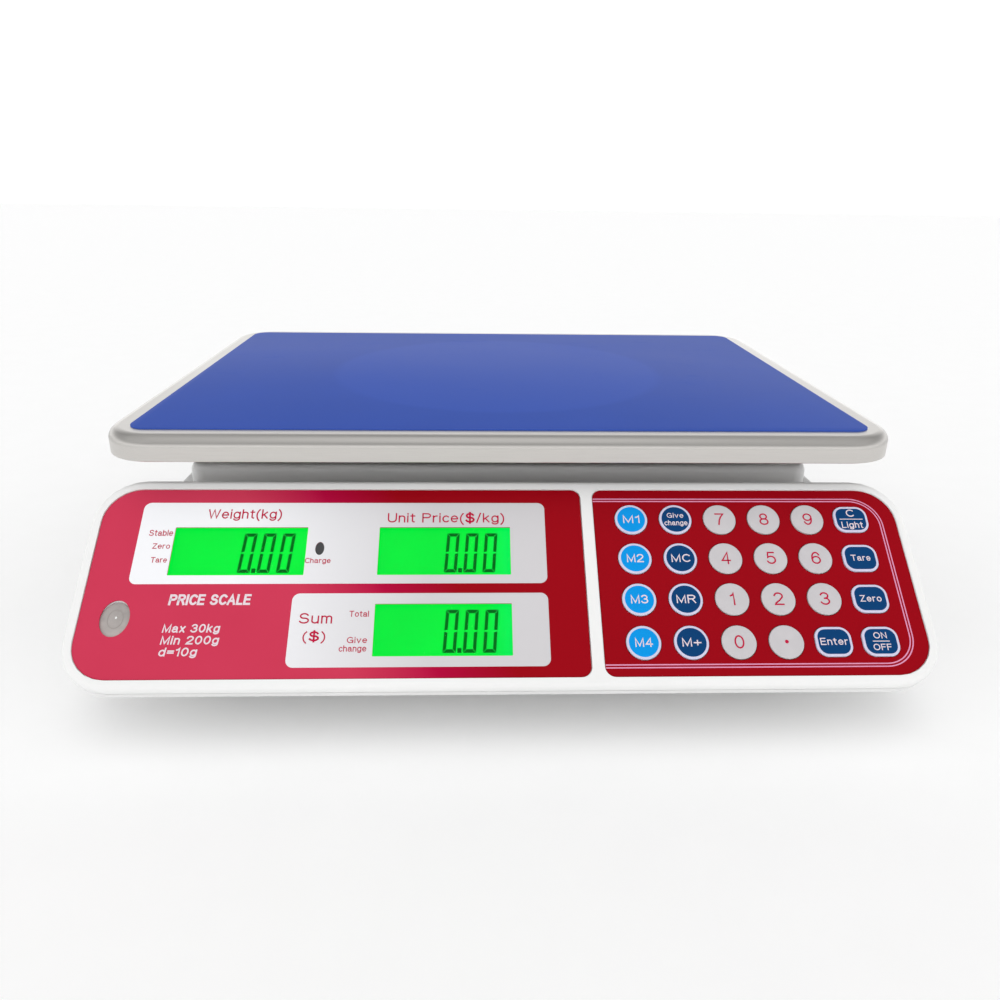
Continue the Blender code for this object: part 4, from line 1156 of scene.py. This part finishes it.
def mechanism_pieces():
    smooth_copy("pan_spider", "spider", "platform", "cast", 40, 0.5 * MM)
    smooth_copy("load_cell_base", "cell_foot", "case", "cast", 40, 0.5 * MM)
    smooth_copy("load_cell", "cell_bar", "case", "milled", 40, 0.25 * MM)
    smooth_copy("fixed_end_bolts", "fixed_bolts", "case", "bolt", 30, 0.2 * MM)
    smooth_copy("live_end_bolts", "live_bolts", "platform", "bolt", 30, 0.2 * MM)
    for corner in CORNERS:
        node = f"pan_cushion_{corner}"
        low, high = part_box(node)
        radius, tall = (high.x - low.x) / 2, high.z - low.z
        place = Matrix.Translation(((low.x + high.x) / 2, (low.y + high.y) / 2, low.z))
        dip = tall - 0.8 * MM
        profile = [(0, dip), (2.4 * MM, dip), (2.8 * MM, tall - 0.2 * MM), (3.4 * MM, tall)]
        profile += rim_arc(radius - 2.2 * MM, tall - 1.6 * MM, 1.6 * MM, 90, 0, 6)
        profile += [(radius - 0.9 * MM, tall * 0.5), (radius, tall * 0.25)]
        profile += [(radius, 0.3 * MM), (radius - 0.3 * MM, 0), (0, 0)]
        cushion = turned(profile, 40, place)
        piece(f"buffer_{corner}", cushion, "platform", "rubber", replaces=(node,))


def cell_details():
    """Sealing compound over the strain gauges, and the bar's four-core lead."""
    low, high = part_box("load_cell")
    middle = (low + high) / 2
    seal_low = (middle.x - 0.021, low.y + 0.004, high.z + 0.01 * MM)
    seal_high = (middle.x + 0.021, high.y - 0.004, high.z + 1.5 * MM)
    seal = rounded_box(seal_low, seal_high, 5 * MM, 1.0 * MM)
    piece("gauge_seal", seal, "case", "potting")
    for number, look in enumerate(("red_wire", "black_wire", "white_wire", "green_wire")):
        side = (number - 1.5) * 1.3 * MM
        route = (
            (middle.x - 0.019, low.y + 0.006 + side, high.z + 0.9 * MM),
            (middle.x - 0.024, low.y - 0.002 + side, high.z + 0.8 * MM),
            (middle.x - 0.026, low.y - 0.014 + side, high.z - 8 * MM),
            (middle.x - 0.028, low.y - 0.050 + side, 0.036),
            (middle.x - 0.030, low.y - 0.090 + side, 0.030),
            (middle.x - 0.034, low.y - 0.125 + side, 0.036),
        )
        wire_piece(f"cell_lead_{number}", route, 0.55 * MM, "case", look)


# --- console --------------------------------------------------------------------------------------------

WINDOW = Vector((54.5 * MM, 21.6 * MM))
KEY_ASPECT = 12.2 / 14.6  # a square key's height over its width
DISPLAYS = ("lcd_weight", "lcd_unit_price", "lcd_total")
PANEL_HEIGHT = 82 * MM
SHEET = 0.5 * MM  # a printed sheet's thickness
OUTER_CORNER, INNER_CORNER = 15 * MM, 4 * MM  # of the two panels
LAMP_WINDOW = 1.85 * MM, 2.95 * MM
UPPER_FIELD = (-0.1513, 0.0389), (0.0167, 0.0758)
LOWER_FIELD = (-0.0855, 0.0043), (0.0166, 0.0347)
STRIPE_WIDTH, STRIPE_PITCH = 0.48 * MM, 1.15 * MM
LEVEL_TILT = math.acos(CONSOLE.col[2].z)


def window_outline(node):
    middle = console_middle(node)
    half = WINDOW / 2
    low, high = (middle.x - half.x, middle.y - half.y), (middle.x + half.x, middle.y + half.y)
    return rounded_outline(low, high, 0.4 * MM, 4)


def level_outline(margin=0.0):
    """The spirit level is upright, so its well is an oval in the sloping face."""
    low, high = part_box("spirit_level")
    radius = (high.x - low.x) / 2 + margin
    return oval_outline(level_middle(), radius, radius / math.cos(LEVEL_TILT))


def level_middle():
    """Where the level's upright axis meets the console's printed sheet."""
    low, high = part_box("spirit_level")
    x, y = (low.x + high.x) / 2, (low.y + high.y) / 2
    origin, out = CONSOLE.translation, CONSOLE.col[2]
    z = origin.z - out.y * (y - origin.y) / out.z
    middle = CONSOLE.inverted() @ Vector((x, y, z))
    return middle.x, middle.y


def panel_sheets():
    """The two printed sheets in the operator's face."""
    low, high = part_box("display_panel")
    corners = (OUTER_CORNER, INNER_CORNER, INNER_CORNER, OUTER_CORNER)
    outline = rounded_outline((low.x, 0), (high.x, PANEL_HEIGHT), corners)
    light = console_middle("charge_light")
    holes = [window_outline(node) for node in DISPLAYS]
    holes += [level_outline(-0.4 * MM), oval_outline(light, *LAMP_WINDOW, 24)]
    mesh = sheet_mesh("display_sheet", [outline] + holes, SHEET_TOP - SHEET, SHEET_TOP, CONSOLE)
    piece("display_sheet", mesh, "case", "panel", replaces=("display_panel",))

    low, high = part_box("keypad_panel")
    corners = (INNER_CORNER, OUTER_CORNER, OUTER_CORNER, INNER_CORNER)
    outline = rounded_outline((low.x, 0), (high.x, PANEL_HEIGHT), corners)
    holes = [key_outline(node, 0.25 * MM) for node in KEY_LEGENDS]
    mesh = sheet_mesh("keypad_sheet", [outline] + holes, SHEET_TOP - SHEET, SHEET_TOP, CONSOLE)
    piece("keypad_sheet", mesh, "case", "panel_deep", replaces=("keypad_panel",))


def key_outline(node, grow=0.0, at_origin=False):
    low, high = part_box(node)
    middle = Vector((0, 0, 0)) if at_origin else console_middle(node)
    half = (high.x - low.x) / 2 + grow
    if node not in SQUARE_KEYS:
        return oval_outline(middle, half, half, 56)
    tall = (half - grow) * KEY_ASPECT + grow
    corner = 4.5 * MM + grow
    low, high = (middle.x - half, middle.y - tall), (middle.x + half, middle.y + tall)
    return rounded_outline(low, high, corner, 10)


def label_fields():
    """The pale fields printed round the displays."""
    corner = sizes().label_corner
    light = console_middle("charge_light")
    upper = [rounded_outline(*UPPER_FIELD, corner)]
    upper += [window_outline("lcd_weight"), window_outline("lcd_unit_price")]
    upper.append(oval_outline(light, *LAMP_WINDOW, 24))
    lower = [rounded_outline(*LOWER_FIELD, corner), window_outline("lcd_total")]
    for name, outlines in (("upper_field", upper), ("lower_field", lower)):
        print_flat(name, outlines, SHEET_TOP + LIFT, CONSOLE, "label")


def keypad_stripes():
    """Two thin lines that run round the keys and off the keypad's inner edge."""
    low, _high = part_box("keypad_panel")
    for number, inset in enumerate((0.0, STRIPE_PITCH)):
        outer = stripe_path(low.x + 0.05 * MM, inset)
        inner = stripe_path(low.x + 0.05 * MM, inset + STRIPE_WIDTH)
        print_flat(f"stripe_{number}", [outer + inner[::-1]], SHEET_TOP + LIFT, CONSOLE, "stripe")


def stripe_path(start_x, inset):
    low_y, high_y, right = 3.2 * MM + inset, 78.0 * MM - inset, 161.8 * MM - inset
    radius = 13 * MM - inset
    points = [(start_x, low_y)]
    for x, y, start in ((right - radius, low_y + radius, 270), (right - radius, high_y - radius, 0)):
        for step in range(ARC_STEPS + 1):
            angle = math.radians(start + 90 * step / ARC_STEPS)
            points.append((x + radius * math.cos(angle), y + radius * math.sin(angle)))
    points.append((start_x, high_y))
    return points


def console_lettering():
    """Every legend printed on the display panel, by its middle, capital height and length in millimetres."""
    legends = (
        ("legend_weight", "Weight(kg)", (-109.0, 70.5), 4.4, 30.6),
        ("legend_unit_price", "Unit Price($/kg)", (-24.9, 68.7), 4.4, 49.0),
        ("legend_stable", "Stable", (-142.2, 61.7), 2.7, 9.7),
        ("legend_zero", "Zero", (-141.1, 55.7), 2.4, 7.1),
        ("legend_tare", "Tare", (-141.0, 49.5), 2.4, 6.5),
        ("legend_charge", "Charge", (-76.9, 49.1), 2.3, 10.4),
        ("legend_sum", "Sum", (-75.5, 24.2), 4.4, 13.0),
        ("legend_sum_mark", "($)", (-75.5, 16.8), 3.9, 8.8),
        ("legend_total", "Total", (-58.6, 26.0), 2.5, 7.7),
        ("legend_give", "Give", (-58.7, 15.2), 2.5, 7.8),
        ("legend_change", "change", (-60.2, 11.8), 2.5, 10.6),
    )
    for name, words, centre, height, width in legends:
        place = [value * MM for value in centre]
        surface = SHEET_TOP + LIFT + INK
        lettering(name, words, place, height * MM, "print_red", CONSOLE, surface, width * MM)
    facts = (
        ("fact_name", "PRICE SCALE", (-117.8, 32.2), 4.6, 32.1, 0.20),
        ("fact_maximum", "Max 30kg", (-123.2, 20.3), 3.5, 22.0, 0.17),
        ("fact_minimum", "Min 200g", (-123.0, 15.5), 3.5, 22.2, 0.17),
        ("fact_division", "d=10g", (-126.8, 10.8), 3.5, 14.5, 0.17),
    )
    for name, words, centre, height, width, weight in facts:
        place = [value * MM for value in centre]
        lettering(
            name, words, place, height * MM, "print_white", CONSOLE, SHEET_TOP, width * MM, weight, 0.08
        )


SEGMENTS = {"0": "abcdef", "1": "bc", "2": "abged", "3": "abgcd", "4": "fgbc", "5": "afgcd", "6": "afgedc"}


def digit_parts():
    """The mitred outline of each of a digit's segments, from its lower left."""
    width, height = sizes().digit_width, sizes().digit_height
    post, bar, gap, half = sizes().post, sizes().bar, 0.14 * MM, sizes().digit_height / 2

    def across(corners):
        return [(width - x, y) for x, y in corners]

    def down(corners):
        return [(x, height - y) for x, y in corners]

    top = [(gap, height), (post + gap, height - bar)]
    top += [(width - x, y) for x, y in reversed(top)]
    left = [(0, height - gap), (0, half + 2 * gap), (post, half + 4 * gap), (post, height - bar - gap)]
    end = [(post + gap, half - bar / 2), (post / 2 + gap, half), (post + gap, half + bar / 2)]
    return {
        "a": top,
        "b": across(left),
        "c": across(down(left)),
        "d": down(top),
        "e": down(left),
        "f": left,
        "g": end + across(end)[::-1],
    }


def reading(name, centre, plane, surface, text="0.00"):
    """A number on a display, set against the window's right end."""
    lean, pitch, thick = math.tan(math.radians(4)), sizes().digit_pitch, 0.05 * MM
    x = centre[0] + WINDOW.x / 2 - 6.5 * MM - sizes().digit_width
    base = centre[1] - sizes().digit_height / 2
    parts = digit_parts()
    shape = bmesh.new()
    for symbol in reversed(text):
        if symbol == ".":
            add_box(shape, (x + pitch - 2.1 * MM, base, 0), (x + pitch - 0.45 * MM, base + 1.9 * MM, thick))
            continue
        for segment in SEGMENTS[symbol]:
            corners = [(x + across + lean * up, base + up, 0) for across, up in parts[segment]]
            draw_out(shape, [shape.faces.new([shape.verts.new(corner) for corner in corners])], thick)
        x -= pitch
    bmesh.ops.recalc_face_normals(shape, faces=shape.faces)
    piece(name, to_mesh(name, shape, plane @ Matrix.Translation((0, 0, surface))), "case", "segment")


def display_pieces():
    """The lit glass of each display and its reading, and the finish of the clear sheet over them."""
    for node in DISPLAYS:
        smooth_copy(node, f"{node}_glass", "case", "backlight", 30)
        middle = console_middle(node)
        top = console_top(node) + 0.02 * MM
        reading(f"{node}_reading", (middle.x, middle.y), CONSOLE, top)
    NODES["display_lens"].data.materials.clear()
    NODES["display_lens"].data.materials.append(finish("clear"))


def console_top(node):
    """How far out of the console's face a node reaches."""
    inverse = CONSOLE.inverted()
    return max((inverse @ v.co).z for v in NODES[node].data.vertices)


def level_pieces():
    """The level in its well: the vial, its ring mark, its bubble drawn as a painted glint, and the black oval
    of the charge lamp.
    """
    smooth_copy("spirit_level", "level_vial", "case", "fluid", 30)
    centre, top = level_middle(), console_top("spirit_level") + 0.01 * MM
    outlines = [oval_outline(centre, radius, radius * 1.28, 40) for radius in (3.1 * MM, 2.85 * MM)]
    print_flat("level_ring", outlines, top, CONSOLE, "level_mark")
    # The bubble, drawn as a pale spot: a painted glint.
    spot = [oval_outline((centre[0] + 0.2 * MM, centre[1] + 0.6 * MM), 0.42 * MM, 0.5 * MM, 24)]
    print_flat("level_bubble_glint", spot, top, CONSOLE, "bubble")
    light = [oval_outline(console_middle("charge_light"), 1.8 * MM, 2.9 * MM, 24)]
    lamp = sheet_mesh("charge_lamp", light, SHEET_TOP - 0.45 * MM, SHEET_TOP - 0.1 * MM, CONSOLE)
    piece("charge_lamp", lamp, "case", "black")


# --- keys -----------------------------------------------------------------------------------------------

KEY_TOP = 0.10 * MM  # a key cap's edge, measured out of the console's face
KEY_BASE = -0.8 * MM
KEY_ROUNDING = 0.30 * MM
KEY_CROWN_REACH = 3.0 * MM  # how far in from its rim a cap is divided to carry the crown
CROWN_STEPS = 7


def crown_height(place, half, tall):
    """The rise of a cap at this place: level in the middle, and falling to nothing at its rim."""
    rim = sizes().key_ring
    reach = min(1.0, (place.x / (half - rim)) ** 2 + (place.y / (tall - rim)) ** 2)
    return sizes().key_crown * min(1.0, 2 * (1 - reach))


def key_style(node):
    if node in ("key_m1", "key_m2", "key_m3", "key_m4"):
        return "key_memory"
    legend = KEY_LEGENDS[node][0]
    return "key_number" if legend.isdigit() or legend == "." else "key_function"


def key_cap(node):
    """A domed cap with a rounded shoulder; the blue ones have a pale rim."""
    low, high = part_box(node)
    half = (high.x - low.x) / 2
    tall = half if node not in SQUARE_KEYS else half * KEY_ASPECT
    style = key_style(node)
    base, shoulder = KEY_BASE, KEY_TOP
    shape = bmesh.new()
    verts = [shape.verts.new((x, y, base)) for x, y in reversed(key_outline(node, 0.0, True))]
    (top,) = draw_out(shape, [shape.faces.new(verts)], shoulder - base)
    bevel(shape, list(top.edges), KEY_ROUNDING, 4)
    bmesh.ops.recalc_face_normals(shape, faces=shape.faces)
    top = max((f for f in shape.faces if f.normal.z > 0.99), key=lambda f: f.calc_area())
    rim = sizes().key_ring - KEY_ROUNDING
    bmesh.ops.inset_region(shape, faces=[top], thickness=rim, use_even_offset=True)
    rim_faces = set(shape.faces) - {top}
    for _step in range(CROWN_STEPS):
        step = KEY_CROWN_REACH / CROWN_STEPS
        bmesh.ops.inset_region(shape, faces=[top], thickness=step, use_even_offset=True)
    inner = set(shape.faces) - rim_faces
    for vert in {v for f in inner for v in f.verts}:
        vert.co.z = shoulder + crown_height(vert.co, half, tall)
    for face in shape.faces:
        face.material_index = 0 if face in inner else 1
    tidy(shape)
    middle = console_middle(node)
    plane = CONSOLE @ Matrix.Translation((middle.x, middle.y, 0))
    rim_look = "key_number" if style == "key_number" else "key_rim"
    mesh = to_mesh(f"{node}_cap", shape, plane)
    piece(f"{node}_cap", mesh, node, style, rim_look, replaces=(node,), angle=60)
    key_legend(node, plane, shoulder, half, tall, style)


def key_pieces():
    for node in KEY_LEGENDS:
        key_cap(node)


LEGEND_SIZES = {
    # name: (line's middle, capital height, length) for each line, in millimetres
    "key_change": ((1.8, 2.3, 7.1), (-1.7, 2.4, 9.8)),
    "key_clear_light": ((2.9, 3.5, 3.3), (-2.7, 2.9, 9.2)),
    "key_tare": ((0.0, 2.7, 8.2),),
    "key_zero": ((0.0, 2.8, 8.8),),
    "key_enter": ((0.0, 2.9, 11.0),),
    "key_on_off": ((2.4, 2.6, 5.3), (-2.4, 2.6, 7.3)),
    "key_mc": ((0.0, 3.6, 7.8),),
    "key_mr": ((0.0, 3.6, 7.8),),
    "key_m_plus": ((0.0, 3.6, 7.6),),
    "key_1": ((0.0, 5.5, 1.8),),
}
MEMORY_LEGEND = ((0.0, 3.7, 7.0),)
NUMBER_LEGEND = ((0.0, 5.5, 3.9),)
RULED_KEYS = ("key_clear_light", "key_on_off")


def key_legend(node, plane, shoulder, half, tall, style):
    """The words on a key, which follow the cap's crown."""
    look = "print_red" if style == "key_number" else "print_white"
    lines = KEY_LEGENDS[node]
    rows = LEGEND_SIZES.get(node, MEMORY_LEGEND if style == "key_memory" else NUMBER_LEGEND)
    for number, (words, (middle, height, width)) in enumerate(zip(lines, rows)):
        if words == ".":
            mesh = to_mesh("point", disc(0.75 * MM))
        else:
            mesh = lettering_mesh(words, height * MM, width * MM, 0.14 if look == "print_white" else 0.11)
            mesh.transform(Matrix.Translation((0, middle * MM, 0)))
        lay_on_crown(mesh, shoulder, half, tall)
        mesh.transform(plane)
        piece(f"{node}_legend_{number}", mesh, node, look)
    if node in RULED_KEYS:
        width = 5.0 * MM if node == "key_clear_light" else 3.4 * MM
        shape = bmesh.new()
        add_box(shape, (-width, -0.17 * MM, -INK / 2), (width, 0.17 * MM, INK / 2))
        whole = shape.verts[:] + shape.edges[:] + shape.faces[:]
        bmesh.ops.bisect_plane(shape, geom=whole, plane_co=(0, 0, 0), plane_no=(1, 0, 0))
        mesh = to_mesh("rule", shape)
        lay_on_crown(mesh, shoulder, half, tall)
        mesh.transform(plane)
        piece(f"{node}_rule", mesh, node, look)


def disc(radius):
    shape = bmesh.new()
    add_rod(shape, Matrix.Identity(4), radius, -INK / 2, INK / 2, 24)
    return shape


def lay_on_crown(mesh, shoulder, half, tall):
    for vert in mesh.vertices:
        vert.co.z += shoulder + crown_height(vert.co, half, tall) + LIFT + INK / 2


# --- customer side --------------------------------------------------------------------------------------


def customer_pieces():
    """The rear panel with three windows, its pale field, legends and readings."""
    low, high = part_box("customer_panel")
    half, tall = (high.x - low.x) / 2, REAR_HEIGHT
    middle = tall * 0.452
    pitch = 72 * MM
    windows = []
    for step in (-1, 0, 1):
        corner = (step * pitch - WINDOW.x / 2, middle - WINDOW.y / 2)
        windows.append(rounded_outline(corner, (corner[0] + WINDOW.x, corner[1] + WINDOW.y), 0.4 * MM, 4))
    outline = rounded_outline((-half, 0), (half, tall), 5 * MM)
    mesh = sheet_mesh("customer_sheet", [outline] + windows, -SHEET, 0.0, REAR)
    piece("customer_sheet", mesh, "case", "panel_deep", replaces=("customer_panel",))
    field = rounded_outline((-half + 9 * MM, 3.2 * MM), (half - 9 * MM, tall - 3.2 * MM), 3 * MM)
    print_flat("customer_field", [field] + windows, LIFT, REAR, "label")
    smooth_copy("customer_lcd", "customer_glass", "case", "rear_backlight", 30)
    surface = -0.78 * MM
    titles = (("Weight(kg)", 21), ("Unit Price($/kg)", 32), ("Sum($)", 14))
    for step, (words, width) in zip((1, 0, -1), titles):
        name = words.split("(")[0].lower().replace(" ", "_")
        x = -step * pitch
        reading(f"customer_reading_{name}", (x, middle), REAR, surface)
        place = (x, middle + WINDOW.y / 2 + 4.0 * MM)
        legend = f"customer_legend_{name}"
        lettering(legend, words, place, 2.8 * MM, "print_red", REAR, LIFT + INK, width * MM)


# --- inside and inlet -----------------------------------------------------------------------------------


def electronics_pieces():
    """The board, the keypad's circuit sheet, the power inlet, the battery and its leads."""
    smooth_copy("main_board", "board", "case", "board", 30)
    smooth_copy("keypad_circuit", "key_circuit", "case", "board", 30)
    smooth_copy("charge_light", "charge_diode", "case", "black", 30)
    smooth_copy("power_inlet", "inlet", "case", "black", 40, 0.15 * MM)
    smooth_copy("battery", "battery_pack", "case", "battery", 30, 0.4 * MM)
    low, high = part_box("power_inlet")
    middle = (low + high) / 2
    pin = Matrix.Translation((high.x - 7 * MM, middle.y, middle.z)) @ Matrix.Rotation(math.pi / 2, 4, "Y")
    shape = bmesh.new()
    add_rod(shape, pin, 0.95 * MM, 0.0, 5.4 * MM, 20, tip=0.7 * MM)
    piece("inlet_pin", shape, "case", "brass")
    battery_details()


def battery_details():
    low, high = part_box("battery")
    body_end = low.x + 0.101
    label_low = (low.x + 0.012, low.y + 0.010, low.z - 0.10 * MM)
    label = rounded_box(label_low, (body_end - 0.012, high.y - 0.010, low.z - 0.02 * MM), 2 * MM)
    piece("battery_label", label, "case", "label")
    down = Matrix.Translation((0, 0, low.z - 0.10 * MM)) @ Matrix.Rotation(math.pi, 4, "X")
    centre_x, centre_y = (low.x + body_end) / 2, (low.y + high.y) / 2
    for name, words, rise, height, look in (
        ("battery_voltage", "6V 4Ah", 6 * MM, 8 * MM, "print_red"),
        ("battery_kind", "SEALED BATTERY", -10 * MM, 4 * MM, "print_black"),
    ):
        lettering(name, words, (centre_x, -centre_y + rise), height, look, down, 0.0)
    for number, (look, y) in enumerate((("red_wire", low.y + 0.017), ("black_wire", high.y - 0.017))):
        start = Vector((high.x - 1 * MM, y, high.z - 11.6 * MM))
        route = (
            start,
            start + Vector((8 * MM, 0, 1 * MM)),
            start + Vector((20 * MM, -8 * MM, -6 * MM)),
            Vector((0.080, 0.060 + number * 4 * MM, 0.032)),
            Vector((0.092, 0.000, 0.030 + number * 2 * MM)),
            Vector((0.070, -0.070, 0.034)),
            Vector((0.024, -0.108 - number * 3 * MM, 0.046)),
        )
        wire_piece(f"battery_lead_{number}", route, 0.9 * MM, "case", look)
        sleeve = bmesh.new()
        near, far = Vector((-3 * MM, -4 * MM, -0.9 * MM)), Vector((5 * MM, 4 * MM, 0.9 * MM))
        add_box(sleeve, start + near, start + far)
        bevel(sleeve, sleeve.edges[:], 0.5 * MM, 2)
        piece(f"battery_terminal_{number}", sleeve, "case", look)


# --- stage ----------------------------------------------------------------------------------------------


def add_camera():
    stage = bpy.context.scene.scale_stage
    yaw = Matrix.Rotation(stage.camera_pan, 4, "Z")
    down = Matrix.Rotation(math.pi / 2 - stage.camera_pitch, 4, "X")
    turn = yaw @ down @ Matrix.Rotation(stage.camera_roll, 4, "Z")
    data = bpy.data.cameras.new("camera")
    data.sensor_width = 36.0
    data.lens = stage.lens
    data.clip_start = 0.01
    made = add_object("camera", data)
    made.matrix_world = Matrix.Translation(stage.camera_place) @ turn
    bpy.context.scene.camera = made


def add_lights():
    """Two very large, distant soft boxes, which light the whole floor alike."""
    for name, direction, strength in (
        ("left_light", (0.60, 0.45, -1.6), 0.67),
        ("right_light", (-0.60, 0.45, -1.6), 0.59),
    ):
        data = bpy.data.lights.new(name, "SUN")
        data.angle = math.radians(75)
        data.energy = strength
        made = add_object(name, data)
        made.matrix_world = Vector(direction).to_track_quat("-Z", "Y").to_matrix().to_4x4()


def add_world():
    """A soft white room, bright round the horizon and dimmer overhead: polished metal shows it as bands."""
    bpy.context.scene.view_settings.view_transform = "Standard"
    world = bpy.data.worlds.new("studio")
    world.use_nodes = True
    tree = world.node_tree
    direction = tree.nodes.new("ShaderNodeTexCoord")
    parts = tree.nodes.new("ShaderNodeSeparateXYZ")
    ramp = tree.nodes.new("ShaderNodeValToRGB")
    tree.links.new(direction.outputs["Generated"], parts.inputs[0])
    tree.links.new(parts.outputs["Z"], ramp.inputs["Fac"])
    tree.links.new(ramp.outputs["Color"], tree.nodes["Background"].inputs["Color"])
    stops = ((0.12, 1.9), (0.36, 0.80), (0.75, 0.46), (1.0, 0.40))
    while len(ramp.color_ramp.elements) < len(stops):
        ramp.color_ramp.elements.new(1.0)
    for element, (height, light) in zip(ramp.color_ramp.elements, stops):
        element.position = height
        element.color = (light, light, light, 1.0)
    bpy.context.scene.world = world


def add_floor():
    shape = bmesh.new()
    bmesh.ops.create_grid(shape, x_segments=1, y_segments=1, size=6.0)
    mesh = to_mesh("floor", shape)
    mesh.materials.append(finish("floor"))
    add_object("floor", mesh)


# --- operators ------------------------------------------------------------------------------------------


class PieceOperator:
    """What every operator here shares: it runs its steps in order."""

    bl_options = {"REGISTER", "UNDO"}
    steps = ()

    def execute(self, context):
        for step in self.steps:
            step()
        return {"FINISHED"}


class SCALE_OT_stage(PieceOperator, bpy.types.Operator):
    """Set the pale floor, the soft light and the camera"""

    bl_idname = "price_scale.stage"
    bl_label = "Stage"
    steps = (add_world, add_camera, add_floor, add_lights)


class SCALE_OT_housing(PieceOperator, bpy.types.Operator):
    """Make the moulded shells, the battery door, their screws and the moulded details"""

    bl_idname = "price_scale.housing"
    bl_label = "Housing"
    steps = (housing_pieces, shell_screws, underside_details)


class SCALE_OT_feet(PieceOperator, bpy.types.Operator):
    """Make the levelling feet: rubber soles and threaded thumbwheels"""

    bl_idname = "price_scale.feet"
    bl_label = "Feet"
    steps = (foot_details,)


class SCALE_OT_pan(PieceOperator, bpy.types.Operator):
    """Make the steel tray and the blue film on it"""

    bl_idname = "price_scale.pan"
    bl_label = "Pan"
    steps = (pan_pieces,)


class SCALE_OT_mechanism(PieceOperator, bpy.types.Operator):
    """Make the spider, cushions, load cell, bolts and the cell's lead"""

    bl_idname = "price_scale.mechanism"
    bl_label = "Mechanism"
    steps = (mechanism_pieces, cell_details)


class SCALE_OT_console(PieceOperator, bpy.types.Operator):
    """Make the console's printed sheets, pale fields, stripes and lettering"""

    bl_idname = "price_scale.console"
    bl_label = "Console print"
    steps = (panel_sheets, label_fields, keypad_stripes, console_lettering)


class SCALE_OT_displays(PieceOperator, bpy.types.Operator):
    """Make the operator's lit displays, the spirit level and the charge lamp"""

    bl_idname = "price_scale.displays"
    bl_label = "Displays"
    steps = (display_pieces, level_pieces)


class SCALE_OT_keys(PieceOperator, bpy.types.Operator):
    """Make the domed keys and their legends"""

    bl_idname = "price_scale.keys"
    bl_label = "Keys"
    steps = (key_pieces,)


class SCALE_OT_customer_side(PieceOperator, bpy.types.Operator):
    """Make the customer's display on the rear face"""

    bl_idname = "price_scale.customer_side"
    bl_label = "Customer display"
    steps = (customer_pieces,)


class SCALE_OT_electronics(PieceOperator, bpy.types.Operator):
    """Make the board, battery, leads and power inlet"""

    bl_idname = "price_scale.electronics"
    bl_label = "Electronics"
    steps = (electronics_pieces,)


OPERATORS = (
    SCALE_OT_stage,
    SCALE_OT_housing,
    SCALE_OT_feet,
    SCALE_OT_pan,
    SCALE_OT_mechanism,
    SCALE_OT_console,
    SCALE_OT_displays,
    SCALE_OT_keys,
    SCALE_OT_customer_side,
    SCALE_OT_electronics,
)


class SCALE_PT_panel(bpy.types.Panel):
    """Lists the pieces of the scale and the settings behind them"""

    bl_idname = "SCALE_PT_panel"
    bl_label = "Price Scale"
    bl_space_type = "VIEW_3D"
    bl_region_type = "UI"
    bl_category = "Price Scale"

    def draw(self, context):
        for operator in OPERATORS:
            self.layout.operator(operator.bl_idname)
        for name, group in SETTINGS.items():
            box = self.layout.box()
            for key in group.__annotations__:
                box.prop(getattr(context.scene, name), key)


CLASSES = (*SETTINGS.values(), *OPERATORS, SCALE_PT_panel)


def register():
    for each in CLASSES:
        bpy.utils.register_class(each)
    for name, group in SETTINGS.items():
        setattr(bpy.types.Scene, name, bpy.props.PointerProperty(type=group))


def unregister():
    for name in SETTINGS:
        delattr(bpy.types.Scene, name)
    for each in reversed(CLASSES):
        bpy.utils.unregister_class(each)


def main():
    register()
    for operator in OPERATORS:
        group, name = operator.bl_idname.split(".")
        getattr(getattr(bpy.ops, group), name)()


if __name__ == "__main__":
    main()
